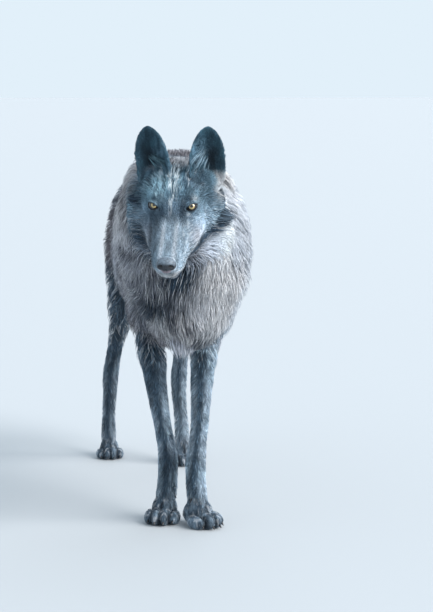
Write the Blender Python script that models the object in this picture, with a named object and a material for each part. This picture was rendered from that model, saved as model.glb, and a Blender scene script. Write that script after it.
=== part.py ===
"""A grey wolf in a black winter coat, standing still at life size, as a museum shows it.

Run it with: blender --background --python part.py, or from Blender's text editor.
Metres, +Z up. The wolf looks along -Y and its own left side is at +X. The origin is on the floor, under the
middle of the animal. Each solid is the outer shape of the coat, out to the tips of the hair.
"""

import math

import bmesh
import bpy
from mathutils import Euler, Matrix, Vector

# ---------------------------------------------------------------- driving dimensions, in metres
BODY_SHIFT = (-0.001, 0.043, 0.0)       # puts the middle of the finished animal over the origin
GAP = 0.0005                # room between two pieces that touch
FLOOR_CUT = 0.0             # the feet are cut flat at this height

EYE_MIDDLE = Vector((-0.050, -0.560, 0.744))    # the point midway between the eyes
HEAD_PITCH, HEAD_YAW, HEAD_ROLL = math.radians(42), math.radians(-17), math.radians(2.1)
EYE_SPREAD = 0.0400         # half the distance between the eyes
EYE_RADIUS = 0.0120

SIDES = (("right", -1), ("left", 1))
LEG_TOP = 0.60              # the steps and leans below grow from this height down,
LEG_LONG = 0.45             # and are whole this far below it
# How far each foot steps forward of its place in the tables.
STRIDE = {"foreleg_right": 0.012, "foreleg_left": 0.066, "hindleg_right": 0.026, "hindleg_left": 0.145}
# How far each leg leans out of its place in the tables: at the top, halfway down and at the foot.
LEAN = {
    "foreleg_right": (0.000, -0.011, -0.0095),
    "foreleg_left": (0.010, -0.012, -0.0030),
    "hindleg_right": (-0.010, -0.008, -0.006),
    "hindleg_left": (0.012, 0.060, 0.010),
}
# How far the toes of each foot turn out, in degrees.
PAW_TURN = {"foreleg_right": 20, "foreleg_left": 30, "hindleg_right": 4, "hindleg_left": 6}
PAW_TOP = 0.068             # where a paw is parted from its leg

VOXEL = 0.0065              # grid that melts the masses of the body into one
BODY_TRIANGLES = 4420
PAW_VOXEL = 0.0036
PAW_TRIANGLES = 430
FINE_VOXEL = 0.0022
NOSE_TRIANGLES = 240
EAR_TRIANGLES = 340

# Colours, linear
BLACK_COAT = (0.045, 0.052, 0.062)
GREY_COAT = (0.17, 0.17, 0.18)
SILVER_COAT = (0.26, 0.30, 0.33)
LEATHER = (0.02, 0.023, 0.028)
AMBER = (0.62, 0.42, 0.12)
HORN = (0.03, 0.028, 0.028)

EAR_TALL, EAR_WIDE, EAR_THICK = 0.112, 0.083, 0.011
EAR_CUP, EAR_LEAN = 0.026, 0.010        # how deep the cup is, and how far the tip leans forward of the root
EAR_FOOT = 0.18             # how far it goes down into the head, as a part of its height
EAR_POINT = 0.64            # how the sides draw in: 0.5 is a round tip, and 1 a sharp one
EAR_TUCK = 2.2              # how fast it narrows below its root
EAR_STAND = 0.004           # how far the edges stand behind the root's line
RIM_THIN, TIP_THIN = 0.45, 0.25         # how much thinner the ear is at its edges and at its tip
# Each ear: where the middle of its root is, and its turns about X, Y and Z in degrees.
EARS = {
    "ear_right": ((-0.087, -0.521, 0.802), (6, -3, -30)),
    "ear_left": ((0.026, -0.554, 0.801), (6, -1, -2)),
}

# A section is: x, y, z of its middle, the pitch of the way that it faces, half its width, and how far it
# reaches above and below the middle. Trunk and neck, from the rump to the back of the head:
TRUNK = (
    (0.010, 0.468, 0.610, 0, 0.040, 0.055, 0.055),
    (0.010, 0.440, 0.612, 0, 0.078, 0.108, 0.100),
    (0.010, 0.370, 0.615, 0, 0.103, 0.152, 0.115),
    (0.010, 0.250, 0.615, 0, 0.112, 0.166, 0.125),
    (0.010, 0.100, 0.610, 0, 0.122, 0.172, 0.150),
    (0.008, -0.060, 0.605, 0, 0.133, 0.188, 0.175),
    (0.009, -0.190, 0.610, 4, 0.149, 0.214, 0.192),
    (0.010, -0.290, 0.640, 18, 0.156, 0.218, 0.210),
    (0.003, -0.360, 0.690, 34, 0.156, 0.198, 0.200),
    (-0.012, -0.415, 0.735, 40, 0.140, 0.162, 0.175),
    (-0.032, -0.455, 0.765, 42, 0.114, 0.120, 0.140),
    (-0.042, -0.490, 0.785, 42, 0.070, 0.060, 0.075),
)
# The brisket, from between the forelegs up to the throat: its sections face up.
BRISKET = (
    (0.010, -0.320, 0.398, 90, 0.026, 0.040, 0.040),
    (0.012, -0.330, 0.425, 90, 0.068, 0.085, 0.085),
    (0.014, -0.355, 0.500, 90, 0.120, 0.120, 0.110),
    (0.007, -0.372, 0.580, 90, 0.146, 0.125, 0.125),
    (-0.004, -0.382, 0.660, 90, 0.153, 0.105, 0.125),
    (-0.024, -0.400, 0.730, 90, 0.126, 0.070, 0.090),
)
# Long hair hangs behind the elbows: the middle of the clump on each side, and its radii.
ELBOW_HAIR = (
    ((-0.074, -0.235, 0.505), (0.044, 0.100, 0.090)),
    ((0.090, -0.255, 0.510), (0.056, 0.115, 0.098)),
)
# The right foreleg, from the shoulder down to the pastern. Here x is the distance out from the middle.
FORELEG = (
    (0.062, -0.245, 0.660, -90, 0.042, 0.060, 0.070),
    (0.070, -0.245, 0.580, -90, 0.054, 0.085, 0.085),
    (0.071, -0.245, 0.500, -90, 0.048, 0.068, 0.075),
    (0.0675, -0.252, 0.425, -90, 0.0370, 0.044, 0.050),
    (0.0600, -0.262, 0.340, -90, 0.0285, 0.033, 0.036),
    (0.0490, -0.275, 0.245, -90, 0.0228, 0.028, 0.028),
    (0.0390, -0.283, 0.185, -90, 0.0225, 0.027, 0.025),
    (0.0340, -0.286, 0.150, -90, 0.0250, 0.029, 0.026),
    (0.0340, -0.284, 0.110, -90, 0.0253, 0.026, 0.025),
    (0.0365, -0.281, 0.075, -90, 0.0262, 0.027, 0.026),
    (0.0400, -0.283, 0.045, -90, 0.0280, 0.030, 0.030),
)
# The right hind leg, from the hip down to the pastern.
HINDLEG = (
    (0.060, 0.345, 0.680, -90, 0.040, 0.080, 0.080),
    (0.062, 0.338, 0.600, -90, 0.049, 0.108, 0.108),
    (0.063, 0.335, 0.520, -90, 0.048, 0.110, 0.108),
    (0.063, 0.348, 0.440, -90, 0.0410, 0.090, 0.088),
    (0.065, 0.382, 0.375, -90, 0.0300, 0.064, 0.062),
    (0.070, 0.423, 0.320, -90, 0.0225, 0.045, 0.045),
    (0.075, 0.460, 0.270, -90, 0.0215, 0.036, 0.036),
    (0.079, 0.478, 0.228, -90, 0.0235, 0.034, 0.036),
    (0.083, 0.470, 0.180, -90, 0.0215, 0.026, 0.026),
    (0.088, 0.462, 0.120, -90, 0.0205, 0.022, 0.022),
    (0.089, 0.456, 0.075, -90, 0.0225, 0.024, 0.024),
    (0.089, 0.452, 0.045, -90, 0.0250, 0.027, 0.027),
)
# A paw in its own frame, with the middle of its pads at the origin and its toes towards -Y: the middle and the
# radii of each ball, which are the pad, the four toes and their last bones.
PAW = (
    ((0.000, 0.018, 0.026), (0.0300, 0.034, 0.030)),
    ((0.000, 0.000, 0.036), (0.0270, 0.030, 0.026)),
    ((-0.0290, -0.014, 0.0145), (0.0135, 0.028, 0.0175)),
    ((-0.0105, -0.028, 0.0180), (0.0130, 0.030, 0.0205)),
    ((0.0105, -0.028, 0.0180), (0.0130, 0.030, 0.0205)),
    ((0.0290, -0.014, 0.0145), (0.0135, 0.028, 0.0175)),
)
CLAWS = ((-0.0310, -0.038), (-0.0115, -0.054), (0.0115, -0.054), (0.0310, -0.038))
CLAW_ROOT, CLAW_TIP, CLAW_LONG = 0.0050, 0.0012, 0.015      # radius at each end, and length
CLAW_HIGH = 0.012           # the middle of a claw above the floor
CLAW_PITCH = math.radians(112)
FOREPAW = ((0.046, -0.292), 1.0)        # x and y of the paw's middle, and its size
HINDPAW = ((0.090, 0.452), 0.86)

# The tail hangs from the croup to the hocks.
TAIL = (
    (0.008, 0.420, 0.690, 170, 0.034, 0.030, 0.034),
    (0.012, 0.462, 0.665, 215, 0.040, 0.038, 0.040),
    (0.018, 0.492, 0.600, 248, 0.048, 0.044, 0.048),
    (0.026, 0.512, 0.520, 260, 0.054, 0.048, 0.052),
    (0.032, 0.520, 0.430, 266, 0.054, 0.048, 0.050),
    (0.042, 0.522, 0.350, 269, 0.040, 0.035, 0.038),
    (0.048, 0.522, 0.290, 270, 0.018, 0.016, 0.018),
    (0.050, 0.522, 0.270, 270, 0.006, 0.005, 0.006),
)
# The head in its own frame: the middle between the eyes is the origin and the muzzle points along -Y.
HEAD = (
    (0, 0.150, -0.020, 0, 0.050, 0.020, 0.045),
    (0, 0.128, -0.020, 0, 0.078, 0.040, 0.066),
    (0, 0.095, -0.022, 0, 0.091, 0.052, 0.078),
    (0, 0.060, -0.024, 0, 0.090, 0.058, 0.080),
    (0, 0.030, -0.026, 0, 0.078, 0.060, 0.076),
    (0, 0.008, -0.028, 0, 0.064, 0.053, 0.070),
    (0, -0.016, -0.032, 0, 0.050, 0.043, 0.062),
    (0, -0.045, -0.036, 0, 0.0405, 0.034, 0.053),
    (0, -0.080, -0.038, 0, 0.0365, 0.030, 0.047),
    (0, -0.110, -0.040, 0, 0.0350, 0.029, 0.043),
    (0, -0.130, -0.041, 0, 0.0310, 0.027, 0.036),
    (0, -0.145, -0.041, 0, 0.0200, 0.018, 0.022),
)
# The rest of the head, on one side: middle, radii and turns about X, Y and Z in degrees.
FACE = (
    ((0.064, 0.060, -0.052), (0.042, 0.062, 0.052), (0, 0, -12)),       # cheek ruff
    ((0.042, 0.004, -0.068), (0.028, 0.060, 0.034), (0, 0, -16)),       # jowl
    ((0.035, -0.030, -0.074), (0.026, 0.040, 0.024), (0, 0, -15)),      # corner of the mouth
    ((0.032, 0.024, 0.014), (0.022, 0.030, 0.015), (20, 0, -14)),       # brow
    ((0.024, -0.084, -0.056), (0.018, 0.046, 0.021), (0, 0, -16)),      # side of the upper lip
    ((0.022, -0.108, -0.052), (0.017, 0.030, 0.022), (0, 0, 0)),        # upper lip
    ((0.008, -0.098, -0.074), (0.019, 0.040, 0.013), (0, 0, 0)),        # chin
)
# The nose pad, in the frame of the head.
NOSE = (
    ((0.000, -0.139, -0.026), (0.0200, 0.014, 0.0130)),
    ((0.000, -0.143, -0.036), (0.0130, 0.012, 0.0120)),
    ((0.011, -0.138, -0.031), (0.0100, 0.013, 0.0100)),
    ((-0.011, -0.138, -0.031), (0.0100, 0.013, 0.0100)),
)
# Where the whole body is parted. Corners are (y, z) for the first three, and (x, z) on the right leg for the
# other two.
HEAD_ROOM = ((-0.440, 0.95), (-0.443, 0.80), (-0.478, 0.655), (-0.80, 0.50), (-0.80, 0.95))
NECK_ROOM = ((-0.180, 0.82), (-0.480, 0.548), (-0.80, 0.30), (-0.80, 0.95), (-0.25, 0.95))
TAIL_ROOM = ((0.455, 0.10), (0.462, 0.60), (0.432, 0.69), (0.432, 0.80), (0.70, 0.80), (0.70, 0.10))
FORELEG_ROOM = ((0.001, -0.10), (0.001, 0.385), (0.125, 0.50), (0.30, 0.60), (0.30, -0.10))
HINDLEG_ROOM = ((0.004, -0.10), (0.004, 0.455), (0.110, 0.60), (0.30, 0.66), (0.30, -0.10))
TAIL_REACH = (-0.038, 0.130)            # how far the tail's room goes in x
FORELEG_REACH = (-0.400, -0.135)        # how far the legs' rooms go in y
HINDLEG_REACH = (0.220, 0.620)
FAR = 1.0                   # beyond the animal's sides, ends and back


def clear_scene():
    for obj in list(bpy.data.objects):
        bpy.data.objects.remove(obj)


def material(name, colour, roughness):
    made = bpy.data.materials.new(name)
    made.use_nodes = True
    shader = made.node_tree.nodes["Principled BSDF"]
    shader.inputs["Base Color"].default_value = (*colour, 1)
    shader.inputs["Roughness"].default_value = roughness
    return made


def smooth_rows(rows, steps):
    """The rows with steps - 1 more between each two, on a Catmull-Rom curve through every column."""
    last, made = len(rows) - 1, []
    for i in range(last):
        a, b, c, d = (rows[min(max(k, 0), last)] for k in (i - 1, i, i + 1, i + 2))
        for step in range(steps):
            t = step / steps
            row = []
            for p, q, r, s in zip(a, b, c, d):
                bend = (2 * p - 5 * q + 4 * r - s) * t**2 + (3 * q - p - 3 * r + s) * t**3
                row.append(q + 0.5 * ((r - p) * t + bend))
            made.append(row)
    return made + [list(rows[last])]


def loft(name, rows, steps=3, around=28, square=2.3):
    """A closed body through the sections of rows. square is 2 for ellipses, and more for fuller corners."""
    bm = bmesh.new()
    rings = []
    for x, y, z, pitch, wide, up, down in smooth_rows(rows, steps):
        turn = Matrix.Rotation(-math.radians(pitch), 3, "X")
        ring = []
        for k in range(around):
            c, s = math.cos(math.tau * k / around), math.sin(math.tau * k / around)
            across = wide * math.copysign(abs(c) ** (2 / square), c)
            along = (up if s > 0 else down) * math.copysign(abs(s) ** (2 / square), s)
            ring.append(bm.verts.new(Vector((x, y, z)) + turn @ Vector((across, 0, along))))
        rings.append(ring)
    for a, b in zip(rings, rings[1:]):
        for k in range(around):
            m = (k + 1) % around
            bm.faces.new((a[k], a[m], b[m], b[k]))
    bm.faces.new(rings[0])
    bm.faces.new(rings[-1])
    bmesh.ops.recalc_face_normals(bm, faces=bm.faces)
    return linked(name, bm)


def ellipsoid(name, centre, radii, turn=(0, 0, 0), segments=24):
    """A ball stretched to radii, turned by the angles of turn in degrees."""
    bm = bmesh.new()
    bmesh.ops.create_uvsphere(bm, u_segments=segments, v_segments=segments // 2, radius=1)
    turned = Euler([math.radians(t) for t in turn]).to_matrix().to_4x4()
    bm.transform(Matrix.Translation(centre) @ turned @ Matrix.Diagonal((*radii, 1)))
    return linked(name, bm)


def box(name, low, high):
    bm = bmesh.new()
    size = Vector(high) - Vector(low)
    middle = (Vector(high) + Vector(low)) / 2
    bmesh.ops.create_cube(bm, size=1, matrix=Matrix.Translation(middle) @ Matrix.Diagonal((*size, 1)))
    return linked(name, bm)


def linked(name, bm):
    mesh = bpy.data.meshes.new(name)
    bm.to_mesh(mesh)
    bm.free()
    obj = bpy.data.objects.new(name, mesh)
    bpy.context.scene.collection.objects.link(obj)
    return obj


def evaluated(obj):
    """Applies obj's modifiers to its mesh."""
    graph = bpy.context.evaluated_depsgraph_get()
    mesh = bpy.data.meshes.new_from_object(obj.evaluated_get(graph))
    obj.modifiers.clear()
    old, obj.data = obj.data, mesh
    mesh.name = obj.name
    bpy.data.meshes.remove(old)
    return obj


def joined(name, objects):
    """One object with the meshes of all these, which are removed."""
    bm = bmesh.new()
    for obj in objects:
        obj.data.transform(obj.matrix_basis)
        bm.from_mesh(obj.data)
        bpy.data.objects.remove(obj)
    return linked(name, bm)


def melted(name, objects, voxel, rounds, triangles):
    """The masses as one body: a voxel remesh joins them, smoothing fills the creases, and Decimate thins it."""
    obj = joined(name, objects)
    remesh = obj.modifiers.new("melt", "REMESH")
    remesh.mode = "VOXEL"
    remesh.voxel_size = voxel
    smooth = obj.modifiers.new("soften", "SMOOTH")
    smooth.factor = 0.5
    smooth.iterations = rounds
    evaluated(obj)
    thin = obj.modifiers.new("thin", "DECIMATE")
    thin.ratio = triangles / sum(len(p.vertices) - 2 for p in obj.data.polygons)
    return evaluated(obj)


def boolean(obj, other, operation):
    modifier = obj.modifiers.new(operation.lower(), "BOOLEAN")
    modifier.operation = operation
    modifier.object = other
    modifier.solver = "EXACT"
    return evaluated(obj)


def boolean_once(obj, other, operation):
    """As boolean, and other is removed."""
    boolean(obj, other, operation)
    bpy.data.objects.remove(other)
    return obj


def copied(name, obj):
    made = bpy.data.objects.new(name, obj.data.copy())
    bpy.context.scene.collection.objects.link(made)
    return made


def grown(name, obj, by):
    """A copy of obj with its surface moved out by this much."""
    made = copied(name, obj)
    push = made.modifiers.new("grow", "DISPLACE")
    push.mid_level = 0
    push.strength = by
    return evaluated(made)


def parted(name, whole, region):
    """Takes the piece of whole inside region, and leaves whole without it, a gap apart. Removes region."""
    piece = boolean(copied(name, whole), region, "INTERSECT")
    cutter = grown(name + "_cutter", region, GAP)
    boolean(whole, cutter, "DIFFERENCE")
    bpy.data.objects.remove(cutter)
    bpy.data.objects.remove(region)
    return piece


def prism(name, corners, low, high, along="X", sign=1):
    """The polygon of corners, drawn out from low to high along X or Y. With sign -1 it is mirrored in x."""
    bm = bmesh.new()
    ends = []
    for far in (low, high):
        if along == "X":
            ends.append([bm.verts.new((far, y, z)) for y, z in corners])
        else:
            ends.append([bm.verts.new((sign * x, far, z)) for x, z in corners])
    count = len(corners)
    for k in range(count):
        m = (k + 1) % count
        bm.faces.new((ends[0][k], ends[0][m], ends[1][m], ends[1][k]))
    bm.faces.new(ends[0])
    bm.faces.new(ends[1])
    bmesh.ops.recalc_face_normals(bm, faces=bm.faces)
    return linked(name, bm)


def head_frame():
    """Carries the head's own frame to the body's."""
    nod = Matrix.Rotation(HEAD_PITCH, 4, "X") @ Matrix.Rotation(HEAD_ROLL, 4, "Y")
    return Matrix.Translation(EYE_MIDDLE) @ Matrix.Rotation(HEAD_YAW, 4, "Z") @ nod


def placed(name, sign, x, y, z):
    """Where a point of the right leg's tables, or of its mirror image, goes on the leg of that name."""
    share = min(max((LEG_TOP - z) / LEG_LONG, 0), 1)
    share = share * share * (3 - 2 * share)
    top, half, foot = LEAN[name]
    lean = top * (1 - share) ** 2 + 2 * half * share * (1 - share) + foot * share**2
    return sign * (x + lean), y - STRIDE[name] * share


def leg_mass(name, sign, rows):
    made = []
    for x, y, z, *rest in rows:
        made.append((*placed(name, sign, x, y, z), z, *rest))
    return loft(name + "_mass", made, around=24)


def paw(name, sign, where, size, ankle):
    """A foot with its toes and claws, cut flat by the floor and by the top of the paw."""
    masses = [ellipsoid("ball", middle, radii, segments=20) for middle, radii in PAW]
    for x, y in CLAWS:
        bm = bmesh.new()
        bmesh.ops.create_cone(
            bm, segments=10, radius1=CLAW_ROOT, radius2=CLAW_TIP, depth=CLAW_LONG, cap_ends=True)
        bm.transform(Matrix.Translation((x, y, CLAW_HIGH)) @ Matrix.Rotation(CLAW_PITCH, 4, "X"))
        masses.append(linked("claw", bm))
    x, y = placed(name, sign, *where, 0)
    turn = Matrix.Rotation(math.radians(sign * PAW_TURN[name]), 4, "Z")
    for mass in masses:
        mass.data.transform(Matrix.Translation((x, y, 0)) @ turn @ Matrix.Scale(size, 4))
    masses.append(ankle)
    foot = melted(name.replace("leg", "paw"), masses, PAW_VOXEL, 3, PAW_TRIANGLES)
    room = box("foot_room", (-FAR, -FAR, FLOOR_CUT), (FAR, FAR, PAW_TOP - GAP))
    return boolean_once(foot, room, "INTERSECT")


def body():
    """Head, neck, trunk, tail and legs as one melted body."""
    masses = [loft("trunk_mass", TRUNK, square=2.1), loft("brisket_mass", BRISKET)]
    masses.append(loft("tail_mass", TAIL, around=20))
    for side, sign in SIDES:
        masses.append(leg_mass("foreleg_" + side, sign, FORELEG))
        masses.append(leg_mass("hindleg_" + side, sign, HINDLEG))
    masses += [ellipsoid("elbow_mass", middle, radii) for middle, radii in ELBOW_HAIR]
    head = [loft("head_mass", HEAD, around=36)]
    for sign in (-1, 1):
        for (x, y, z), radii, (pitch, roll, yaw) in FACE:
            head.append(ellipsoid("face_mass", (sign * x, y, z), radii, (pitch, sign * roll, sign * yaw)))
    for mass in head:
        mass.data.transform(head_frame())
    whole = melted("trunk", masses + head, VOXEL, 4, BODY_TRIANGLES)
    return boolean_once(whole, box("ground_room", (-FAR, -FAR, PAW_TOP), (FAR, FAR, FAR)), "INTERSECT")


def ear(name):
    """A pointed cup with a thick rim, that faces forwards and a little out."""
    bm = bmesh.new()
    across, up = 12, 16
    sheets = []
    for depth in (0.0, EAR_THICK):
        sheet = []
        for j in range(up + 1):
            v = math.sin(math.pi / 2 * (j - 2) / (up - 2)) if j > 1 else (j / 2 - 1) * EAR_FOOT
            wide = EAR_WIDE / 2 * ((1 - v**3) ** EAR_POINT if v > 0 else 1 - EAR_TUCK * v * v / EAR_FOOT)
            row = []
            for i in range(across + 1):
                u = 2 * i / across - 1
                hollow = EAR_CUP * (1 - max(v, 0)) ** 0.7 * (1 - u * u) + EAR_STAND
                thick = depth * (1 - RIM_THIN * abs(u) ** 3) * (1 - TIP_THIN * v)
                row.append(bm.verts.new((wide * u, hollow + thick - EAR_LEAN * v * v, EAR_TALL * v)))
            sheet.append(row)
        sheets.append(sheet)
    front, back = sheets
    for j in range(up):
        for i in range(across):
            bm.faces.new((front[j][i], front[j][i + 1], front[j + 1][i + 1], front[j + 1][i]))
            bm.faces.new((back[j][i], back[j + 1][i], back[j + 1][i + 1], back[j][i + 1]))
    rim = [(0, i) for i in range(across)] + [(j, across) for j in range(up)]
    rim += [(up, i) for i in range(across, 0, -1)] + [(j, 0) for j in range(up, 0, -1)]
    for k, (j, i) in enumerate(rim):
        m, n = rim[(k + 1) % len(rim)]
        bm.faces.new((front[m][n], front[j][i], back[j][i], back[m][n]))
    bmesh.ops.remove_doubles(bm, verts=bm.verts, dist=0.0003)
    bmesh.ops.recalc_face_normals(bm, faces=bm.faces)
    made = linked("ear_mass", bm)
    place, turn = EARS[name]
    angles = Euler([math.radians(t) for t in turn]).to_matrix().to_4x4()
    made.data.transform(Matrix.Translation(place) @ angles)
    return melted(name, [made], FINE_VOXEL, 1, EAR_TRIANGLES)


def eye(name, sign):
    bm = bmesh.new()
    bmesh.ops.create_icosphere(bm, subdivisions=2, radius=EYE_RADIUS)
    bm.transform(head_frame() @ Matrix.Translation((sign * EYE_SPREAD, 0, 0)))
    return linked(name, bm)


def nose(name):
    """The bare pad at the tip of the muzzle."""
    masses = [ellipsoid("pad", middle, radii, segments=20) for middle, radii in NOSE]
    for mass in masses:
        mass.data.transform(head_frame())
    return melted(name, masses, FINE_VOXEL, 2, NOSE_TRIANGLES)


def take_room(piece, wholes):
    """Leaves room for the piece in each of wholes."""
    cutter = grown("cutter", piece, GAP)
    for whole in wholes:
        boolean(whole, cutter, "DIFFERENCE")
    bpy.data.objects.remove(cutter)


def trim(piece, whole):
    """Takes away what the whole fills, and a gap more, from the piece."""
    boolean_once(piece, grown("cutter", whole, GAP), "DIFFERENCE")


def one_body(obj):
    """Keeps the largest of the closed shells, as a boolean can leave crumbs."""
    bm = bmesh.new()
    bm.from_mesh(obj.data)
    left, shells = set(bm.verts), []
    while left:
        found, queue = set(), [left.pop()]
        while queue:
            vert = queue.pop()
            found.add(vert)
            for edge in vert.link_edges:
                other = edge.other_vert(vert)
                if other in left:
                    left.discard(other)
                    queue.append(other)
        shells.append(found)
    shells.sort(key=len)
    for crumbs in shells[:-1]:
        bmesh.ops.delete(bm, geom=list(crumbs), context="VERTS")
    bmesh.ops.triangulate(bm, faces=bm.faces)
    bm.to_mesh(obj.data)
    bm.free()
    return len(shells) - 1


def main():
    clear_scene()
    trunk = body()
    tail = parted("tail", trunk, prism("tail_room", TAIL_ROOM, *TAIL_REACH))
    legs = []
    for side, sign in SIDES:
        room = prism("leg_room", FORELEG_ROOM, *FORELEG_REACH, "Y", sign)
        legs.append(parted("foreleg_" + side, trunk, room))
        room = prism("leg_room", HINDLEG_ROOM, *HINDLEG_REACH, "Y", sign)
        legs.append(parted("hindleg_" + side, trunk, room))
    head = parted("head", trunk, prism("head_room", HEAD_ROOM, -FAR, FAR))
    neck = parted("neck", trunk, prism("neck_room", NECK_ROOM, -FAR, FAR))
    paws = []
    for side, sign in SIDES:
        for kind, rows, where in (("foreleg_", FORELEG, FOREPAW), ("hindleg_", HINDLEG, HINDPAW)):
            paws.append(paw(kind + side, sign, *where, leg_mass(kind + side, sign, rows[-4:])))
    eyes = [eye("eye_" + side, sign) for side, sign in SIDES]
    pad = nose("nose")
    for piece in eyes + [pad]:
        take_room(piece, [head])
    ears = [ear(name) for name in EARS]
    for piece in ears:
        trim(piece, head)
        trim(piece, neck)
    made = [trunk, tail, head, neck, pad] + legs + paws + eyes + ears
    black_coat = material("black_coat", BLACK_COAT, 0.85)
    finishes = {
        "eye": material("amber_eye", AMBER, 0.1),
        "nose": material("nose_leather", LEATHER, 0.45),
        "trunk": material("grey_coat", GREY_COAT, 0.9),
        "neck": material("silver_coat", SILVER_COAT, 0.9),
    }
    for obj in made:
        crumbs = one_body(obj)
        obj.data.transform(Matrix.Translation(BODY_SHIFT))
        obj.data.materials.clear()
        finish = finishes.get(obj.name.split("_")[0], black_coat)
        obj.data.materials.append(finish)
        print(obj.name, len(obj.data.polygons), "triangles,", crumbs, "crumbs removed")


main()
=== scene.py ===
# %% [markdown]
# # A black grey wolf in its winter coat, life size
#
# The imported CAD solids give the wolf's outline, out to the tips of its hair. Here they are replaced by one
# skin that lies under the coat, by eyes and a nose pad, and by a coat of solid locks. Everything is in
# metres, with +Z up. The wolf looks along -Y, and its own left side is at +X.

# %% Setup
import math
import time

import bmesh
import bpy
import numpy as np
from mathutils import Euler, Matrix, Vector
from mathutils.bvhtree import BVHTree
from mathutils.kdtree import KDTree


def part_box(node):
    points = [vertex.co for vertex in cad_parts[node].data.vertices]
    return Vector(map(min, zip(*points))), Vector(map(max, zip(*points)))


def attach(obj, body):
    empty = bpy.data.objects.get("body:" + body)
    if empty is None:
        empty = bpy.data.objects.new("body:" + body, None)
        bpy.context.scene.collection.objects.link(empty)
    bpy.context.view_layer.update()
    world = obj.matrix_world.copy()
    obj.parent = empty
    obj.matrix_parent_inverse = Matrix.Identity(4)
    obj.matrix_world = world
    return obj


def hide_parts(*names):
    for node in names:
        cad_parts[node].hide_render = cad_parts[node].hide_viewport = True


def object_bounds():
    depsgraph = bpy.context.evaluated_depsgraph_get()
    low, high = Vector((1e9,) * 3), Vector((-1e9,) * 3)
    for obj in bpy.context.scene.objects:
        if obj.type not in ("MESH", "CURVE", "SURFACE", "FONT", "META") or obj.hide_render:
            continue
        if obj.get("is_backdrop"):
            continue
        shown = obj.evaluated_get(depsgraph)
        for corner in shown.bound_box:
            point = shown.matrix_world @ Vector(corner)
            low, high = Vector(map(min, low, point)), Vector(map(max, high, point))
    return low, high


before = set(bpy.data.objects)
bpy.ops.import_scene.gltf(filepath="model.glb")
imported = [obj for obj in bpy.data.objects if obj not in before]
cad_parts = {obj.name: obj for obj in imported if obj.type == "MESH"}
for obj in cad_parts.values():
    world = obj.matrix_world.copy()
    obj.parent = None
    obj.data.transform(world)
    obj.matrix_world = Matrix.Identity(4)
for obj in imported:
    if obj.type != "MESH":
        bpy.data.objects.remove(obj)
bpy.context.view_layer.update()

STARTED = time.time()
RANDOM = np.random.default_rng(7)
SIDES = (("right", -1), ("left", 1))


def report(*words):
    print(f"{time.time() - STARTED:6.1f} s:", *words)


def middle(node):
    low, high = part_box(node)
    return (low + high) / 2


# %% [markdown]
# ## Camera, light and floor
# A person who meets a wolf sees it from a little above its back. The camera stands there, in front of it
# and slightly to its right, with a long lens, because a short one close by would swell the muzzle and
# shrink the legs. Light could come from lamps near the model or from a whole painted sky. Two wide suns and
# a plain pale world are enough for dull hair under a cloudy sky, and they leave no hard shadow. The floor is
# marked as stage, so it shows in the render and isn't part of the model.

# %% Camera
CAMERA_PLACE = Vector((-0.586, -4.194, 0.995))
CAMERA_AZIMUTH, CAMERA_DIP = math.radians(9.7), math.radians(7.108)
CAMERA_LENS = 103.65
camera_data = bpy.data.cameras.new("camera")
camera_data.lens = CAMERA_LENS
camera = bpy.data.objects.new("camera", camera_data)
bpy.context.scene.collection.objects.link(camera)
camera.location = CAMERA_PLACE
camera.rotation_euler = (math.pi / 2 - CAMERA_DIP, 0, -CAMERA_AZIMUTH)
bpy.context.scene.camera = camera


# %% Light and floor
def linear(code):
    """The linear colour of an sRGB hex code such as #8090a0."""
    parts = [int(code[i:i + 2], 16) / 255 for i in (1, 3, 5)]
    return np.array([c / 12.92 if c <= 0.04045 else ((c + 0.055) / 1.055) ** 2.4 for c in parts])


def sun(name, towards, wide, strength, colour):
    """A light from the direction towards, as wide as an overcast sky's bright part, in degrees."""
    data = bpy.data.lights.new(name, "SUN")
    data.energy, data.angle = strength, math.radians(wide)
    data.color = linear(colour)
    light = bpy.data.objects.new(name, data)
    bpy.context.scene.collection.objects.link(light)
    light.rotation_euler = Vector(towards).to_track_quat("Z", "Y").to_euler()
    return light


sun("bright_sky", (1.0, -0.72, 0.80), 45, 5.0, "#fffaf6")
sun("sky_behind", (0.5, 1.0, 0.8), 60, 1.0, "#eef5ff")

scene = bpy.context.scene
scene.view_settings.view_transform = "Standard"
world = bpy.data.worlds.new("pale_sky")
world.use_nodes = True
sky = world.node_tree.nodes["Background"]
sky.inputs["Color"].default_value = (*linear("#e2f0fa"), 1)
sky.inputs["Strength"].default_value = 1.0
scene.world = world

FLOOR = 150.0       # half the width of the floor
floor_mesh = bpy.data.meshes.new("floor")
floor_corners = [(x * FLOOR, y * FLOOR, 0) for x, y in ((-1, -1), (1, -1), (1, 1), (-1, 1))]
floor_mesh.from_pydata(floor_corners, [], [(0, 1, 2, 3)])
floor = bpy.data.objects.new("floor", floor_mesh)
scene.collection.objects.link(floor)
floor_look = bpy.data.materials.new("pale_floor")
floor_look.use_nodes = True
floor_shader = floor_look.node_tree.nodes["Principled BSDF"]
floor_shader.inputs["Base Color"].default_value = (*linear("#a9afb4"), 1)
floor_shader.inputs["Roughness"].default_value = 0.9
floor_mesh.materials.append(floor_look)
floor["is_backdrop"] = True
report("camera, light and floor")


# %% [markdown]
# ## Ways to make and melt shapes
# An animal has no flat face and no true circle. It could be drawn out of a cube with extrude and scale, or
# be sculpted by hand. Here it is blocked out as a sculptor does in clay: simple masses are laid over each
# other, a voxel remesh melts them into one body, and smoothing fills the creases. Each mass keeps its own
# size and place, so one cheek can be moved without spoiling the rest. After that, small moves of the mesh's
# points add lids, lips and nostrils.

# %% Shape helpers
def linked(name, mesh):
    obj = bpy.data.objects.new(name, mesh)
    scene.collection.objects.link(obj)
    return obj


def from_bmesh(name, bm):
    mesh = bpy.data.meshes.new(name)
    bm.to_mesh(mesh)
    bm.free()
    return linked(name, mesh)


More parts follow.
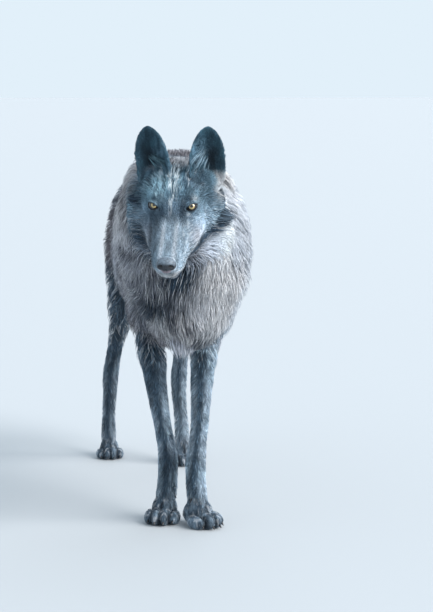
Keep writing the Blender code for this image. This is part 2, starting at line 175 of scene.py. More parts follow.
def smooth_rows(rows, steps):
    """The rows with steps - 1 more between each two, on a Catmull-Rom curve through every column."""
    last, made = len(rows) - 1, []
    for i in range(last):
        a, b, c, d = (np.array(rows[min(max(k, 0), last)], float) for k in (i - 1, i, i + 1, i + 2))
        for t in np.arange(steps) / steps:
            made.append(0.5 * (2 * b + (c - a) * t + (2 * a - 5 * b + 4 * c - d) * t**2
                               + (3 * b - a - 3 * c + d) * t**3))
    return made + [np.array(rows[last], float)]


def loft(name, rows, steps=4, around=40, square=2.3):
    """A closed body through sections of x, y, z, pitch, half width, and reach above and below the middle."""
    bm = bmesh.new()
    rings = []
    for x, y, z, pitch, wide, up, down in smooth_rows(rows, steps):
        turn = Matrix.Rotation(-math.radians(pitch), 3, "X")
        ring = []
        for k in range(around):
            c, s = math.cos(math.tau * k / around), math.sin(math.tau * k / around)
            across = wide * math.copysign(abs(c) ** (2 / square), c)
            along = (up if s > 0 else down) * math.copysign(abs(s) ** (2 / square), s)
            ring.append(bm.verts.new(Vector((x, y, z)) + turn @ Vector((across, 0, along))))
        rings.append(ring)
    for a, b in zip(rings, rings[1:]):
        for k in range(around):
            bm.faces.new((a[k], a[(k + 1) % around], b[(k + 1) % around], b[k]))
    bm.faces.new(rings[0])
    bm.faces.new(rings[-1])
    bmesh.ops.recalc_face_normals(bm, faces=bm.faces)
    return from_bmesh(name, bm)


def ellipsoid(name, centre, radii, turn=(0, 0, 0), segments=32):
    """A ball stretched to radii, turned by the angles of turn in degrees."""
    bm = bmesh.new()
    bmesh.ops.create_uvsphere(bm, u_segments=segments, v_segments=segments // 2, radius=1)
    turned = Euler([math.radians(t) for t in turn]).to_matrix().to_4x4()
    bm.transform(Matrix.Translation(centre) @ turned @ Matrix.Diagonal((*radii, 1)))
    return from_bmesh(name, bm)


def evaluated(obj):
    """Applies obj's modifiers to its mesh."""
    graph = bpy.context.evaluated_depsgraph_get()
    mesh = bpy.data.meshes.new_from_object(obj.evaluated_get(graph))
    obj.modifiers.clear()
    old, obj.data = obj.data, mesh
    bpy.data.meshes.remove(old)
    mesh.name = obj.name
    return obj


def joined(name, objects):
    bm = bmesh.new()
    for obj in objects:
        bm.from_mesh(obj.data)
        bpy.data.objects.remove(obj)
    return from_bmesh(name, bm)


def melted(name, objects, voxel, rounds):
    """The masses as one body: a voxel remesh joins them and smoothing fills the creases."""
    obj = joined(name, objects)
    remesh = obj.modifiers.new("melt", "REMESH")
    remesh.mode = "VOXEL"
    remesh.voxel_size = voxel
    smooth = obj.modifiers.new("soften", "SMOOTH")
    smooth.factor = 0.5
    smooth.iterations = rounds
    return evaluated(obj)


def boolean(obj, other, operation):
    modifier = obj.modifiers.new(operation.lower(), "BOOLEAN")
    modifier.operation = operation
    modifier.object = other
    modifier.solver = "EXACT"
    evaluated(obj)
    bpy.data.objects.remove(other)
    return obj


# %% [markdown]
# ## A mesh as arrays
# A coat needs the same small step at hundreds of thousands of points, and a loop over them would take
# minutes. So points, normals and edges are read into arrays, worked on all at once, and written back.
# Smooth noise is made here too, so that the same blotches fall on skin and hair.

# %% Mesh numbers
def points_of(mesh):
    co = np.empty(len(mesh.vertices) * 3, np.float32)
    mesh.vertices.foreach_get("co", co)
    return co.reshape(-1, 3).astype(float)


def set_points(mesh, points):
    mesh.vertices.foreach_set("co", points.astype(np.float32).ravel())
    mesh.update()


def normals_of(mesh):
    made = np.empty(len(mesh.vertices) * 3, np.float32)
    mesh.vertices.foreach_get("normal", made)
    return made.reshape(-1, 3).astype(float)


def edges_of(mesh):
    made = np.empty(len(mesh.edges) * 2, np.int32)
    mesh.edges.foreach_get("vertices", made)
    return made.reshape(-1, 2)


def blurred(values, edges, rounds):
    """The values of the mesh's points, each mixed with its neighbours' that many times."""
    count = len(values)
    flat = values.reshape(count, -1).astype(float)
    a, b = edges[:, 0], edges[:, 1]
    degree = np.bincount(a, minlength=count) + np.bincount(b, minlength=count)
    for _ in range(rounds):
        total = np.stack([np.bincount(a, flat[b, k], count) + np.bincount(b, flat[a, k], count)
                          for k in range(flat.shape[1])], axis=1)
        flat = 0.4 * flat + 0.6 * total / np.maximum(degree, 1)[:, None]
    return flat.reshape(values.shape)


def unit(vectors):
    return vectors / np.maximum(np.linalg.norm(vectors, axis=-1, keepdims=True), 1e-9)


def ramp(x, low, high):
    """0 below low, 1 above high, and smooth between."""
    t = np.clip((np.asarray(x, float) - low) / (high - low), 0, 1)
    return t * t * (3 - 2 * t)


def noise(points, size, seed=0):
    """Smooth noise between 0 and 1, with blobs about size across. size is one number or one for each axis."""
    grid = np.asarray(points) / size + 100.0 + seed * 17.3
    base = np.floor(grid).astype(np.int64)
    part = grid - base
    part = part * part * (3 - 2 * part)
    total = np.zeros(len(grid))
    for corner in range(8):
        bits = np.array([corner & 1, corner >> 1 & 1, corner >> 2 & 1])
        cell = base + bits
        mixed = (cell[:, 0] * 73856093) ^ (cell[:, 1] * 19349663) ^ (cell[:, 2] * 83492791)
        mixed = ((mixed ^ (mixed >> 15)) * 2246822519) & 0xFFFFFFFF
        mixed = ((mixed ^ (mixed >> 13)) * 3266489917) & 0xFFFFFFFF
        total += ((mixed >> 8) & 0xFFFF) / 65535 * np.prod(np.where(bits, part, 1 - part), axis=1)
    return total


# %% [markdown]
# ## The head's own frame
# The wolf holds its head low and turned to its right. It could be modelled as it stands, but then both
# sides of the face would have to be worked out one by one. So it is modelled straight, in a frame with the
# middle between the eyes as its origin and the muzzle along -Y, and it is turned afterwards. The solids of
# the eyes in the CAD say where it goes.

# %% Head frame
HEAD_PITCH, HEAD_YAW, HEAD_ROLL = math.radians(42), math.radians(-17), math.radians(2.1)
EYE_RADIUS = 0.0118
EYE_MIDDLE = (middle("eye_left") + middle("eye_right")) / 2
EYE_SPREAD = (middle("eye_left") - middle("eye_right")).length / 2
HEAD_TURN = (Matrix.Rotation(HEAD_YAW, 4, "Z") @ Matrix.Rotation(HEAD_PITCH, 4, "X")
             @ Matrix.Rotation(HEAD_ROLL, 4, "Y"))
HEAD_FRAME = Matrix.Translation(EYE_MIDDLE) @ HEAD_TURN
TURN = np.array(HEAD_TURN.to_3x3())


def to_head(points):
    return (points - np.array(EYE_MIDDLE)) @ TURN


def from_head(points):
    return points @ TURN.T + np.array(EYE_MIDDLE)


# %% [markdown]
# ## Skin of the body
# Under a winter coat the body is much slimmer than it looks: the hair is some 4 cm deep on the ruff and the
# back, and almost nothing on the shins. The body could be modelled again from nothing. Instead the CAD
# solids, which are the outer shape of the coat, are melted together and drawn in by the depth of the hair,
# so that skin and outline agree everywhere.

# %% Coat envelope and body skin
FLESH = ["head", "neck", "trunk", "tail"]
FLESH += [f"{part}_{side}" for part in ("foreleg", "hindleg", "forepaw", "hindpaw")
          for side in ("left", "right")]
EARS = ["ear_left", "ear_right"]
REGIONS = ("head", "ear", "neck", "trunk", "tail", "foreleg", "hindleg", "paw")
BODY_VOXEL = 0.0058     # metres: the fineness of the body's skin


def region_of(node):
    return "paw" if "paw" in node else node.split("_")[0]


def cad_copy(nodes):
    return joined("cad_copy", [linked("copy", frame_mesh(node).copy()) for node in nodes])


def frame_mesh(node):
    return bpy.data.objects[node].data


def tree_of(mesh, points=None):
    faces = [tuple(p.vertices) for p in mesh.polygons]
    return BVHTree.FromPolygons((points_of(mesh) if points is None else points).tolist(), faces)


def nearest_regions(points):
    """The region of the CAD solid that is nearest to each point, as one column for each region."""
    corners, faces, owner = [], [], []
    for node in FLESH + EARS:
        mesh = frame_mesh(node)
        faces += [tuple(v + len(corners) for v in p.vertices) for p in mesh.polygons]
        owner += [REGIONS.index(region_of(node))] * len(mesh.polygons)
        corners += points_of(mesh).tolist()
    tree = BVHTree.FromPolygons(corners, faces)
    made = np.zeros((len(points), len(REGIONS)))
    for i, point in enumerate(points):
        made[i, owner[tree.find_nearest(point)[2]]] = 1
    return made


def coat_depth(points, weights):
    """How thick the coat is over each point of the body, by region and height."""
    z = points[:, 2]
    depths = {
        "head": 0.018, "ear": 0.004, "neck": 0.044 - 0.014 * ramp(z, 0.74, 0.82), "trunk": 0.036,
        "tail": 0.005 + 0.023 * ramp(z, 0.27, 0.42) - 0.008 * ramp(z, 0.60, 0.68), "paw": 0.009,
        "foreleg": 0.0065 + 0.026 * ramp(z, 0.34, 0.47),
        "hindleg": 0.0070 + 0.022 * ramp(z, 0.26, 0.48),
    }
    return sum(weights[:, i] * depths[name] for i, name in enumerate(REGIONS))


envelope = melted("envelope", [cad_copy(FLESH)], BODY_VOXEL, 1)
ENVELOPE_TREE = tree_of(envelope.data)
body = linked("body_skin", envelope.data.copy())
edges = edges_of(body.data)
places = points_of(body.data)
weights = blurred(nearest_regions(places), edges, 12)
depth = blurred(coat_depth(places, weights), edges, 10)
# The depth is taken off in small steps, with a little smoothing after each, so that no fold crosses another.
SHRINK_STEPS = 6
for _ in range(SHRINK_STEPS):
    inward = blurred(normals_of(body.data), edges, 2)
    places = places - unit(inward) * depth[:, None] / SHRINK_STEPS
    places = 0.6 * places + 0.4 * blurred(places, edges, 1)
    set_points(body.data, places)
bpy.data.objects.remove(envelope)
body = melted("body_skin", [body], BODY_VOXEL, 3)
report("body skin", len(body.data.vertices), "points")


# %% [markdown]
# ## Head
# A wolf's skull is long, with a flat forehead, wide cheekbones and strong jaw muscles. It is lofted through
# sections from the neck to the nose, and the muscles, brows, lips and chin are balls laid on each side of
# it. One loft with more points in each section could hold them all, but then no muscle could be moved alone.

# %% Head masses
# Sections from the neck to the nose: middle x, y, z, pitch in degrees, half width, reach up and reach down.
HEAD = (
    (0, 0.165, -0.045, 0, 0.030, 0.020, 0.050),
    (0, 0.135, -0.030, 0, 0.058, 0.034, 0.058),
    (0, 0.095, -0.022, 0, 0.074, 0.040, 0.066),
    (0, 0.060, -0.024, 0, 0.076, 0.048, 0.071),
    (0, 0.030, -0.026, 0, 0.069, 0.052, 0.069),
    (0, 0.008, -0.028, 0, 0.058, 0.047, 0.065),
    (0, -0.016, -0.032, 0, 0.0465, 0.0395, 0.0590),
    (0, -0.045, -0.036, 0, 0.0385, 0.0315, 0.0510),
    (0, -0.080, -0.038, 0, 0.0340, 0.0280, 0.0450),
    (0, -0.110, -0.040, 0, 0.0312, 0.0270, 0.0410),
    (0, -0.130, -0.041, 0, 0.0260, 0.0255, 0.0345),
    (0, -0.145, -0.041, 0, 0.0170, 0.0165, 0.0210),
)
# On one side: middle, radii and turns about X, Y and Z in degrees.
FACE = (
    ((0.060, 0.058, -0.050), (0.034, 0.050, 0.044), (0, 0, -10)),       # jaw muscle
    ((0.057, 0.026, -0.014), (0.014, 0.040, 0.014), (-8, 0, -14)),      # cheekbone
    ((0.042, 0.004, -0.068), (0.024, 0.055, 0.029), (0, 0, -15)),       # jowl
    ((0.035, -0.030, -0.073), (0.0225, 0.038, 0.0205), (0, 0, -15)),    # corner of the mouth
    ((0.034, 0.023, 0.009), (0.020, 0.026, 0.013), (22, 8, -16)),       # brow
    ((0.042, -0.014, -0.052), (0.0205, 0.042, 0.022), (0, 0, -15)),     # side of the mouth
    ((0.0325, -0.050, -0.057), (0.0180, 0.042, 0.020), (0, 0, -16)),    # flews
    ((0.0225, -0.084, -0.0555), (0.0150, 0.044, 0.0180), (0, 0, -16)),  # side of the upper lip
    ((0.0190, -0.104, -0.051), (0.0150, 0.030, 0.0205), (0, 0, 0)),     # upper lip
    ((0.008, -0.098, -0.073), (0.018, 0.040, 0.0125), (0, 0, 0)),       # chin
)


# %% [markdown]
# ## Ears
# A wolf's ear is a cupped sheet of gristle, some 11 cm tall, with hair on both sides. A ball can't be made
# hollow enough to hold the shadow inside it, and a flat card would show no rim. So two curved grids of
# points, the front and the back, are joined by a rim. The ear goes on down into the head, where melting
# gives it a soft root.

# %% Ears
EAR_TALL, EAR_WIDE, EAR_THICK = 0.110, 0.079, 0.0048
EAR_CUP, EAR_LEAN = 0.024, 0.010        # how deep the cup is, and how far the tip leans forward of the root
EAR_FOOT = 0.2                          # how far it goes down into the head, as a part of its height
EAR_ACROSS, EAR_UP = 18, 20             # rows of faces across the ear and up it
# Each ear: where the middle of its root is, and its turns about X, Y and Z in degrees.
EAR_PLACES = {
    "ear_right": ((-0.088, -0.478, 0.802), (6, -3, -30)),
    "ear_left": ((0.025, -0.511, 0.801), (6, -1, -2)),
}


def ear_frame(name):
    place, turn = EAR_PLACES[name]
    return Matrix.Translation(place) @ Euler([math.radians(t) for t in turn]).to_matrix().to_4x4()


def ear_sheet(v, u, back):
    """A point of the ear in its own frame: v runs up it, u across it, and back is 1 on its outer side."""
    wide = EAR_WIDE / 2 * ((1 - v**3) ** 0.64 if v > 0 else 1 - 2.2 * v * v / EAR_FOOT)
    hollow = EAR_CUP * (1 - max(v, 0)) ** 0.7 * (1 - u * u) + 0.003
    thick = back * EAR_THICK * (1 - 0.3 * abs(u) ** 3)
    return wide * u, hollow + thick - EAR_LEAN * v * v, EAR_TALL * v


def ear(name):
    """A curved sheet with a front, a back and a rim between them, and rows that crowd towards the tip."""
    bm = bmesh.new()
    across, up = EAR_ACROSS, EAR_UP
    rows = [-EAR_FOOT, -EAR_FOOT / 2] + [math.sin(math.pi / 2 * j / (up - 2)) for j in range(up - 1)]
    sheets = []
    for back in (0, 1):
        sheets.append([[bm.verts.new(ear_sheet(v, 2 * i / across - 1, back)) for i in range(across + 1)]
                       for v in rows])
    front, rear = sheets
    for j in range(up):
        for i in range(across):
            bm.faces.new((front[j][i], front[j][i + 1], front[j + 1][i + 1], front[j + 1][i]))
            bm.faces.new((rear[j][i], rear[j + 1][i], rear[j + 1][i + 1], rear[j][i + 1]))
    rim = [(0, i) for i in range(across)] + [(j, across) for j in range(up)]
    rim += [(up, i) for i in range(across, 0, -1)] + [(j, 0) for j in range(up, 0, -1)]
    for k, (j, i) in enumerate(rim):
        m, n = rim[(k + 1) % len(rim)]
        bm.faces.new((front[m][n], front[j][i], rear[j][i], rear[m][n]))
    bmesh.ops.remove_doubles(bm, verts=bm.verts, dist=0.0003)
    bmesh.ops.recalc_face_normals(bm, faces=bm.faces)
    bm.transform(ear_frame(name))
    return from_bmesh(name, bm)


# %% [markdown]
# ## The head melted
# All the masses of the head are put in their place in the world and melted in one go, with a finer voxel
# than the body's. The smoothing that fills creases would also blunt a rim, so it is weaker where the ears
# and the end of the muzzle are.

# %% Head skin
HEAD_VOXEL = 0.0021     # metres: finer than the body's, for the lids and the rims of the ears
masses = [loft("skull", HEAD)]
for _, sign in SIDES:
    for (x, y, z), radii, (pitch, roll, yaw) in FACE:
        masses.append(ellipsoid("face_mass", (sign * x, y, z), radii, (pitch, sign * roll, sign * yaw)))
for mass in masses:
    mass.data.transform(HEAD_FRAME)
for name in EARS:
    masses.append(ear(name))
    root = ellipsoid("ear_root", (0, 0.026, -0.010), (0.036, 0.022, 0.026))
    root.data.transform(ear_frame(name))
    masses.append(root)
head = melted("head_skin", masses, HEAD_VOXEL, 3)
places = points_of(head.data)
local = to_head(places)
# The ears and the end of the muzzle stay sharp, and the rest is smoothed further.
soft = ramp(local[:, 1], -0.135, -0.110) * (1 - ramp(local[:, 2], 0.040, 0.055))
places += soft[:, None] * (blurred(places, edges_of(head.data), 14) - places)
set_points(head.data, places)
report("head skin", len(head.data.vertices), "points")


# %% [markdown]
# ## Eyelids
# The lids are the head's own skin, laid over the eyeball and opened in an almond. They could be rings of
# their own, but a seam would show where they meet the face. So points inside the almond drop behind the
# eyeball, and those round it lie just proud of it, as a rim.

# %% Eyelids
LID_THICK, LID_WIDE = 0.0010, 0.0085    # over the eyeball, and out to where the lid runs into the face
LID_RIM = 0.0012                        # how far the lid's edge stands out
SOCKET = 0.0035                         # how far the skin drops behind the eyeball's surface
EYE_HALF = 0.0108                       # half the length of the opening between the lids
LID_TOP, LID_BOTTOM = 0.0038, 0.0056    # how far the opening reaches up and down from its long axis


def eye_axes(sign):
    """The eye's centre in the head's frame, the way the opening faces, and the directions along and up it."""
    centre = np.array([sign * EYE_SPREAD, 0, 0])
    out = unit(np.array([sign * 0.25, -0.70, 0.66]))
    along = np.array([sign * 0.80, 0.60, -0.02])
    along = unit(along - out * (along @ out))
    return centre, out, along, np.cross(out, along) * sign


def lid_distance(points, sign):
    """How far points of the head's frame lie outside the opening of the lids, and from the eye's centre."""
    centre, out, along, up = eye_axes(sign)
    offset = points - centre
    radius = np.linalg.norm(offset, axis=1)
    facing = offset @ out > 0
    u = offset @ along / radius * EYE_RADIUS / EYE_HALF
    v = offset @ up / radius * EYE_RADIUS
    arch = np.clip(1 - u ** 2, 0, None)
    top = LID_TOP * arch ** 0.85 + 0.0004 * u
    bottom = -LID_BOTTOM * arch + 0.0004 * u
    outside = np.maximum(np.maximum(v - top, bottom - v), (np.abs(u) - 1) * EYE_HALF)
    return np.where(facing, outside, 1.0), radius


def open_eye(points, sign):
    """Lays the skin round an eyeball over it as lids, and drops what lies between them behind it."""
    centre = eye_axes(sign)[0]
    outside, radius = lid_distance(points, sign)
    near = (radius < EYE_RADIUS * 2.6) & (outside < 1)
    rim = EYE_RADIUS + LID_THICK + LID_RIM * np.exp(-((outside - 0.0022) / 0.0016) ** 2)
    lid = rim + (np.maximum(radius, rim) - rim) * ramp(outside, 0.001, LID_WIDE)
    socket = EYE_RADIUS - SOCKET
    target = socket + (lid - socket) * ramp(outside, -0.0008, 0.0004)
    moved = centre + (points - centre) / radius[:, None] * target[:, None]
    return np.where(near[:, None], moved, points)


# %% [markdown]
# ## Lips
# A wolf's shut mouth is one dark line, from under the nose back to below the eye. It could be cut with a
# boolean, but the edges of a cut stay hard. A curve through six places gives the line, and every point of
# the skin near it sinks in by a bell-shaped amount.

# %% Lips
# The line between the lips on the left side, from the middle of the chin to the corner of the mouth.
MOUTH = ((0.000, -0.140, -0.062), (0.012, -0.136, -0.063), (0.024, -0.120, -0.066),
         (0.032, -0.090, -0.072), (0.040, -0.055, -0.074), (0.050, -0.022, -0.068))
LIP_GROOVE_WIDE, LIP_GROOVE_DEEP = 0.0028, 0.0026


def mouth_distance(points):
    """How far each point of the head's frame is from the line of the lips, on either side."""
    mirrored = np.hstack((np.abs(points[:, :1]), points[:, 1:]))
    line = np.array(smooth_rows(MOUTH, 8))
    return np.min(np.linalg.norm(mirrored[:, None, :] - line[None], axis=2), axis=1)


def refine_near(obj, centre, radius):
    """Splits the edges of the faces near a place, so that fine detail can be moulded there."""
    bm = bmesh.new()
    bm.from_mesh(obj.data)
    chosen = [e for e in bm.edges if all((v.co - centre).length < radius for v in e.verts)]
    bmesh.ops.subdivide_edges(bm, edges=chosen, cuts=1, use_grid_fill=True)
    bm.to_mesh(obj.data)
    bm.free()


# %% [markdown]
# ## Lids and lips in place
# A lid is about 2 mm thick, and the head's faces are as wide. So those near the eyes are split once before
# they are moved. Remeshing the whole head finer would do as well, at eight times the cost.

# %% Lids and lips
for side, _ in SIDES:
    refine_near(head, middle("eye_" + side), 0.020)
local = to_head(points_of(head.data))
for _, sign in SIDES:
    local = open_eye(local, sign)
muzzle = np.where(local[:, 1] < 0.0)[0]
groove = np.exp(-((mouth_distance(local[muzzle]) / LIP_GROOVE_WIDE) ** 2)) * LIP_GROOVE_DEEP
head_normals = normals_of(head.data) @ TURN
local[muzzle] -= head_normals[muzzle] * groove[:, None]
set_points(head.data, from_head(local))
report("lids and lips")


# %% [markdown]
# ## Paws
# A wolf's paw has four toes in front of a broad pad, and the middle two reach further. Each toe and pad is
# a ball, and melting them leaves the clefts between. The sole is flat at floor level, where real pads
# spread. Each paw could be sculpted by itself, but one shape, placed, turned and scaled four times, lets a
# toe be corrected once for all.

# %% Paws
# Middle and radii of each mass, for a paw that stands at the origin.
PAW = (
    ((0.000, 0.020, 0.026), (0.0260, 0.030, 0.028)),            # heel pad
    ((0.000, 0.004, 0.034), (0.0240, 0.026, 0.021)),            # back of the paw
    ((-0.0285, -0.014, 0.0135), (0.0108, 0.0250, 0.0155)),      # four toes, from right to left
    ((-0.0100, -0.028, 0.0160), (0.0103, 0.0270, 0.0180)),
    ((0.0100, -0.028, 0.0160), (0.0103, 0.0270, 0.0180)),
    ((0.0285, -0.014, 0.0135), (0.0108, 0.0250, 0.0155)),
)
PAW_VOXEL = 0.0024      # metres
# Each paw: x and y of its middle, its turn in degrees and its size.
PAWS = {
    "forepaw_right": ((-0.0375, -0.261), -20, 1.0),
    "forepaw_left": ((0.042, -0.315), 30, 1.0),
    "hindpaw_right": ((-0.081, 0.469), -4, 0.86),
    "hindpaw_left": ((0.099, 0.350), 6, 0.86),
}


def paw_frame(name):
    (x, y), turn, size = PAWS[name]
    turned = Matrix.Rotation(math.radians(turn), 4, "Z")
    return Matrix.Translation((x, y, 0)) @ turned @ Matrix.Scale(size, 4)


def paw(name):
    masses = [ellipsoid("toe", place, radii, segments=24) for place, radii in PAW]
    for mass in masses:
        mass.data.transform(paw_frame(name))
    made = melted(name + "_skin", masses, PAW_VOXEL, 2)
    places = points_of(made.data)
    places[:, 2] = np.maximum(places[:, 2], 0)
    set_points(made.data, places)
    return made


# %% [markdown]
# ## One skin
# Real skin has no seams. Body, head and paws are meshes of different fineness, as an eyelid needs smaller
# faces than a flank. Melting them again in one go would blur the lids, or make the flanks far too heavy.
# Exact booleans join them as they are into one closed mesh, which replaces all the solids of flesh.

# %% Union
skin = body
for piece in [head] + [paw(name) for name in PAWS]:
    skin = boolean(skin, piece, "UNION")
skin.name = skin.data.name = "skin"
bpy.ops.object.select_all(action="DESELECT")
bpy.context.view_layer.objects.active = skin
skin.select_set(True)
bpy.ops.object.shade_smooth()
report("one skin", len(skin.data.vertices), "points")


# %% [markdown]
# ## Lie and depth of the coat
# Hair lies from the nose backwards over the head, down the cheeks and the ruff, back along the trunk, and
# down the legs and tail. A groomer would comb it with brushes. Here every point of the skin gets three
# values from its place and the way it faces: its region, the way the hair lies there, and how high it
# stands. Blurring them over the mesh makes each region pass softly into the next.

# %% Fields on the skin
places = points_of(skin.data)
outward = normals_of(skin.data)
edges = edges_of(skin.data)
local = to_head(places)
REGION = blurred(nearest_regions(places), edges, 6)


# Each of these takes places and outward directions, and gives the direction of the hair there.
def lie_of_head(points, n):
    p = to_head(points)
    side = np.sign(p[:, 0]) * ramp(np.abs(p[:, 0]), 0.004, 0.05)
    cheek = ramp(np.abs(p[:, 0]), 0.035, 0.075) * ramp(p[:, 1], -0.03, 0.03)
    throat = ramp(-p[:, 2], 0.05, 0.09)
    made = np.stack((side * (0.25 + 0.55 * cheek), 1 - 0.35 * cheek,
                     0.1 * (1 - cheek) - 0.65 * cheek - 0.35 * throat), axis=1)
    return made @ TURN.T


def lie_of_neck(p, n):
    front = ramp(-n[:, 1], 0.1, 0.7)
    nape = ramp(n[:, 2], 0.2, 0.8)
    side = np.sign(p[:, 0] + 0.02) * ramp(np.abs(p[:, 0] + 0.02), 0.01, 0.09)
    return np.stack((side * (0.28 + 0.15 * front), 0.60 - 0.75 * front + 0.7 * nape,
                     -0.85 + 0.65 * nape), axis=1)


def lie_of_trunk(p, n):
    chest = ramp(-n[:, 1], 0.15, 0.7) * ramp(-p[:, 1], 0.12, 0.24)
    top = ramp(n[:, 2], 0.3, 0.9)
    side = np.sign(p[:, 0] + 0.01) * ramp(np.abs(p[:, 0] + 0.01), 0.01, 0.09)
    return np.stack((side * 0.12, 1 - 1.15 * chest, -0.5 + 0.45 * top - 0.6 * chest), axis=1)


def lie_of_limb(back):
    """Down a leg or the tail, and a little backwards, more so where the limb is high."""
    return lambda p, n: (np.tile([0, back, -1.0], (len(p), 1))
                         + [0, 0.45, 0] * ramp(p[:, 2], 0.3, 0.5)[:, None])


def lie_of_paw(p, n):
    return np.stack((0.25 * n[:, 0], -0.75 + 0.2 * n[:, 1], np.full(len(p), -0.75)), axis=1)


def lie_of_ear(p, n):
    return np.tile([0, 0.1, 1.0], (len(p), 1)) + [0.1, 0, 0] * np.sign(p[:, :1] + 0.02)


LIE = {"head": lie_of_head, "ear": lie_of_ear, "neck": lie_of_neck, "trunk": lie_of_trunk,
       "tail": lie_of_limb(0.15), "foreleg": lie_of_limb(0.12), "hindleg": lie_of_limb(0.10),
       "paw": lie_of_paw}
lie = sum(REGION[:, i:i + 1] * unit(LIE[name](places, outward)) for i, name in enumerate(REGIONS))
for _ in range(3):
    lie = unit(blurred(lie, edges, 3))
    lie = unit(lie - outward * np.sum(lie * outward, axis=1, keepdims=True))

# The coat reaches from the skin to the CAD outline, within these limits in metres for each region.
above = np.zeros(len(places))
for i, (point, normal) in enumerate(zip(places, outward)):
    nearest, _, _, distance = ENVELOPE_TREE.find_nearest(point)
    above[i] = distance if (np.array(nearest) - point) @ normal > 0 else 0
LEAST = {"head": 0.0022, "ear": 0.0026, "neck": 0.020, "trunk": 0.016, "tail": 0.016,
         "foreleg": 0.0035, "hindleg": 0.0035, "paw": 0.0026}
MOST = {"head": 0.030, "ear": 0.0030, "neck": 0.052, "trunk": 0.042, "tail": 0.036,
        "foreleg": 0.034, "hindleg": 0.030, "paw": 0.0060}


def by_region(table, weights=REGION):
    """A number for each point or face, mixed from the table's by how much of each region is there."""
    return sum(weights[:, i] * table[name] for i, name in enumerate(REGIONS))


height = blurred(np.clip(above, by_region(LEAST), by_region(MOST)), edges, 6)
report("fields; the coat is", f"{1000 * height.min():.0f} to {1000 * height.max():.0f} mm deep")


# %% [markdown]
# ## Markings
# A black wolf going grey has blue-black guard hair over a pale undercoat: a dark mask with a frosted
# muzzle, a silver ruff with a dark throat, and dark legs with pale sides. The colours could be painted on
# the mesh by hand or drawn by shader nodes. They are functions of place instead, one for each region,
# because skin and locks then take the same colour from the same function. Locks hang down, so a marking
# shows about 4 cm below the place on the body where it is laid.

# %% Colours
BLACK, NAVY, SLATE = linear("#1b232d"), linear("#334454"), linear("#5c6e7d")
TEAL, STEEL, LILAC = linear("#6c909f"), linear("#a9bfd0"), linear("#c0c4ce")
SILVER, BEIGE, BROWN = linear("#e4e8ee"), linear("#cfc6c0"), linear("#84797b")
WHITE, FROST, TOE_GREY = linear("#f6f8fa"), linear("#a3c2cf"), linear("#687d90")
EAR_BLUE, FRINGE_BLUE = linear("#4d7284"), linear("#4f8aa6")
RIM_DARK = linear("#0c0f14")            # bare skin along the lids
WARM = 0.5 * WHITE + 0.3 * SILVER + 0.2 * BEIGE


def mix(colours, colour, share):
    return colours + (colour - colours) * np.clip(share, 0, 1)[:, None]


def spot(p, place, radii, mirrored=True, full=1.0):
    """1 at a place and a third at the radii, mirrored in x or not. A full above 1 widens its middle."""
    q = np.abs(p) * [1, 0, 0] + p * [0, 1, 1] if mirrored else p
    return np.minimum(1, full * np.exp(-np.sum(((q - place) / radii) ** 2, axis=1)))


def stripe(x, middle, half):
    """1 where x is middle, and falling to a third at half on either side of it."""
    return np.exp(-((x - middle) / half) ** 2)


def patched(made, p, patches):
    """The colours with one spot after another laid over them."""
    for colour, share, *where in patches:
        made = mix(made, colour, share * spot(p, *where))
    return made


def jaw_edge(p):
    """How far a point of the head's frame lies below and behind the edge of the face, from ear to chin."""
    line = -0.046 - 0.14 * (p[:, 1] + 0.05)
    return np.maximum(line - 0.018 - p[:, 2], (p[:, 1] - 0.052) * 0.8)


# %% [markdown]
# ## Colours of the face
# A dark mask lies round the eyes and over the forehead, with pale cheeks, a frosted muzzle with pale hair
# beside a dark bridge, and black lips. Colours painted by hand on an unwrap of the head could hold finer
# detail. A list of patches, each with a colour, a place and radii, can be read and moved by hand, and works
# for the tips of the hair as well as for the skin.

# %% Colours of the face
# Patches of the face in the order they are laid: colour, share, place, radii, and whether on both sides.
CHEEK_PATCHES = (
    (STEEL, 0.35, (0.046, 0.036, 0.018), (0.014, 0.014, 0.020), False),     # over the left brow
    (STEEL, 0.90, (0.066, 0.002, -0.034), (0.026, 0.034, 0.030), True),     # cheek
    (LILAC, 0.80, (0.052, -0.034, -0.050), (0.022, 0.038, 0.020), True),    # behind the lips
)
EYE_PATCHES = (
    (BEIGE, 0.35, (0.047, 0.010, 0.013), (0.010, 0.006, 0.008), False),     # fleck over the left eye
    (NAVY, 0.90, (0.020, -0.020, 0.004), (0.007, 0.024, 0.030), True),      # from the eye down to the muzzle
    (NAVY, 0.80, (0.033, 0.004, 0.014), (0.010, 0.006, 0.010), True),       # upper lid
    (NAVY, 0.70, (0.030, 0.046, 0.026), (0.012, 0.022, 0.016), False),      # left side of the forehead
    (WHITE, 0.45, (0.036, -0.021, -0.005), (0.006, 0.004, 0.003), False),   # fleck under the left eye
    (NAVY, 0.80, (0.082, 0.036, 0.000), (0.020, 0.024, 0.026), True),       # behind the eye
    (NAVY, 0.75, (0.055, 0.060, 0.026), (0.020, 0.024, 0.018), True),       # before the ear
)
# These are where the head runs into the pale ruff, and have full middles.
TEMPLE_PATCHES = (
    (WARM, 0.80, (-0.108, 0.082, -0.018), (0.018, 0.034, 0.020), False, 1.5),
    (WARM, 0.75, (0.094, 0.054, -0.006), (0.011, 0.018, 0.020), False, 1.5),
)


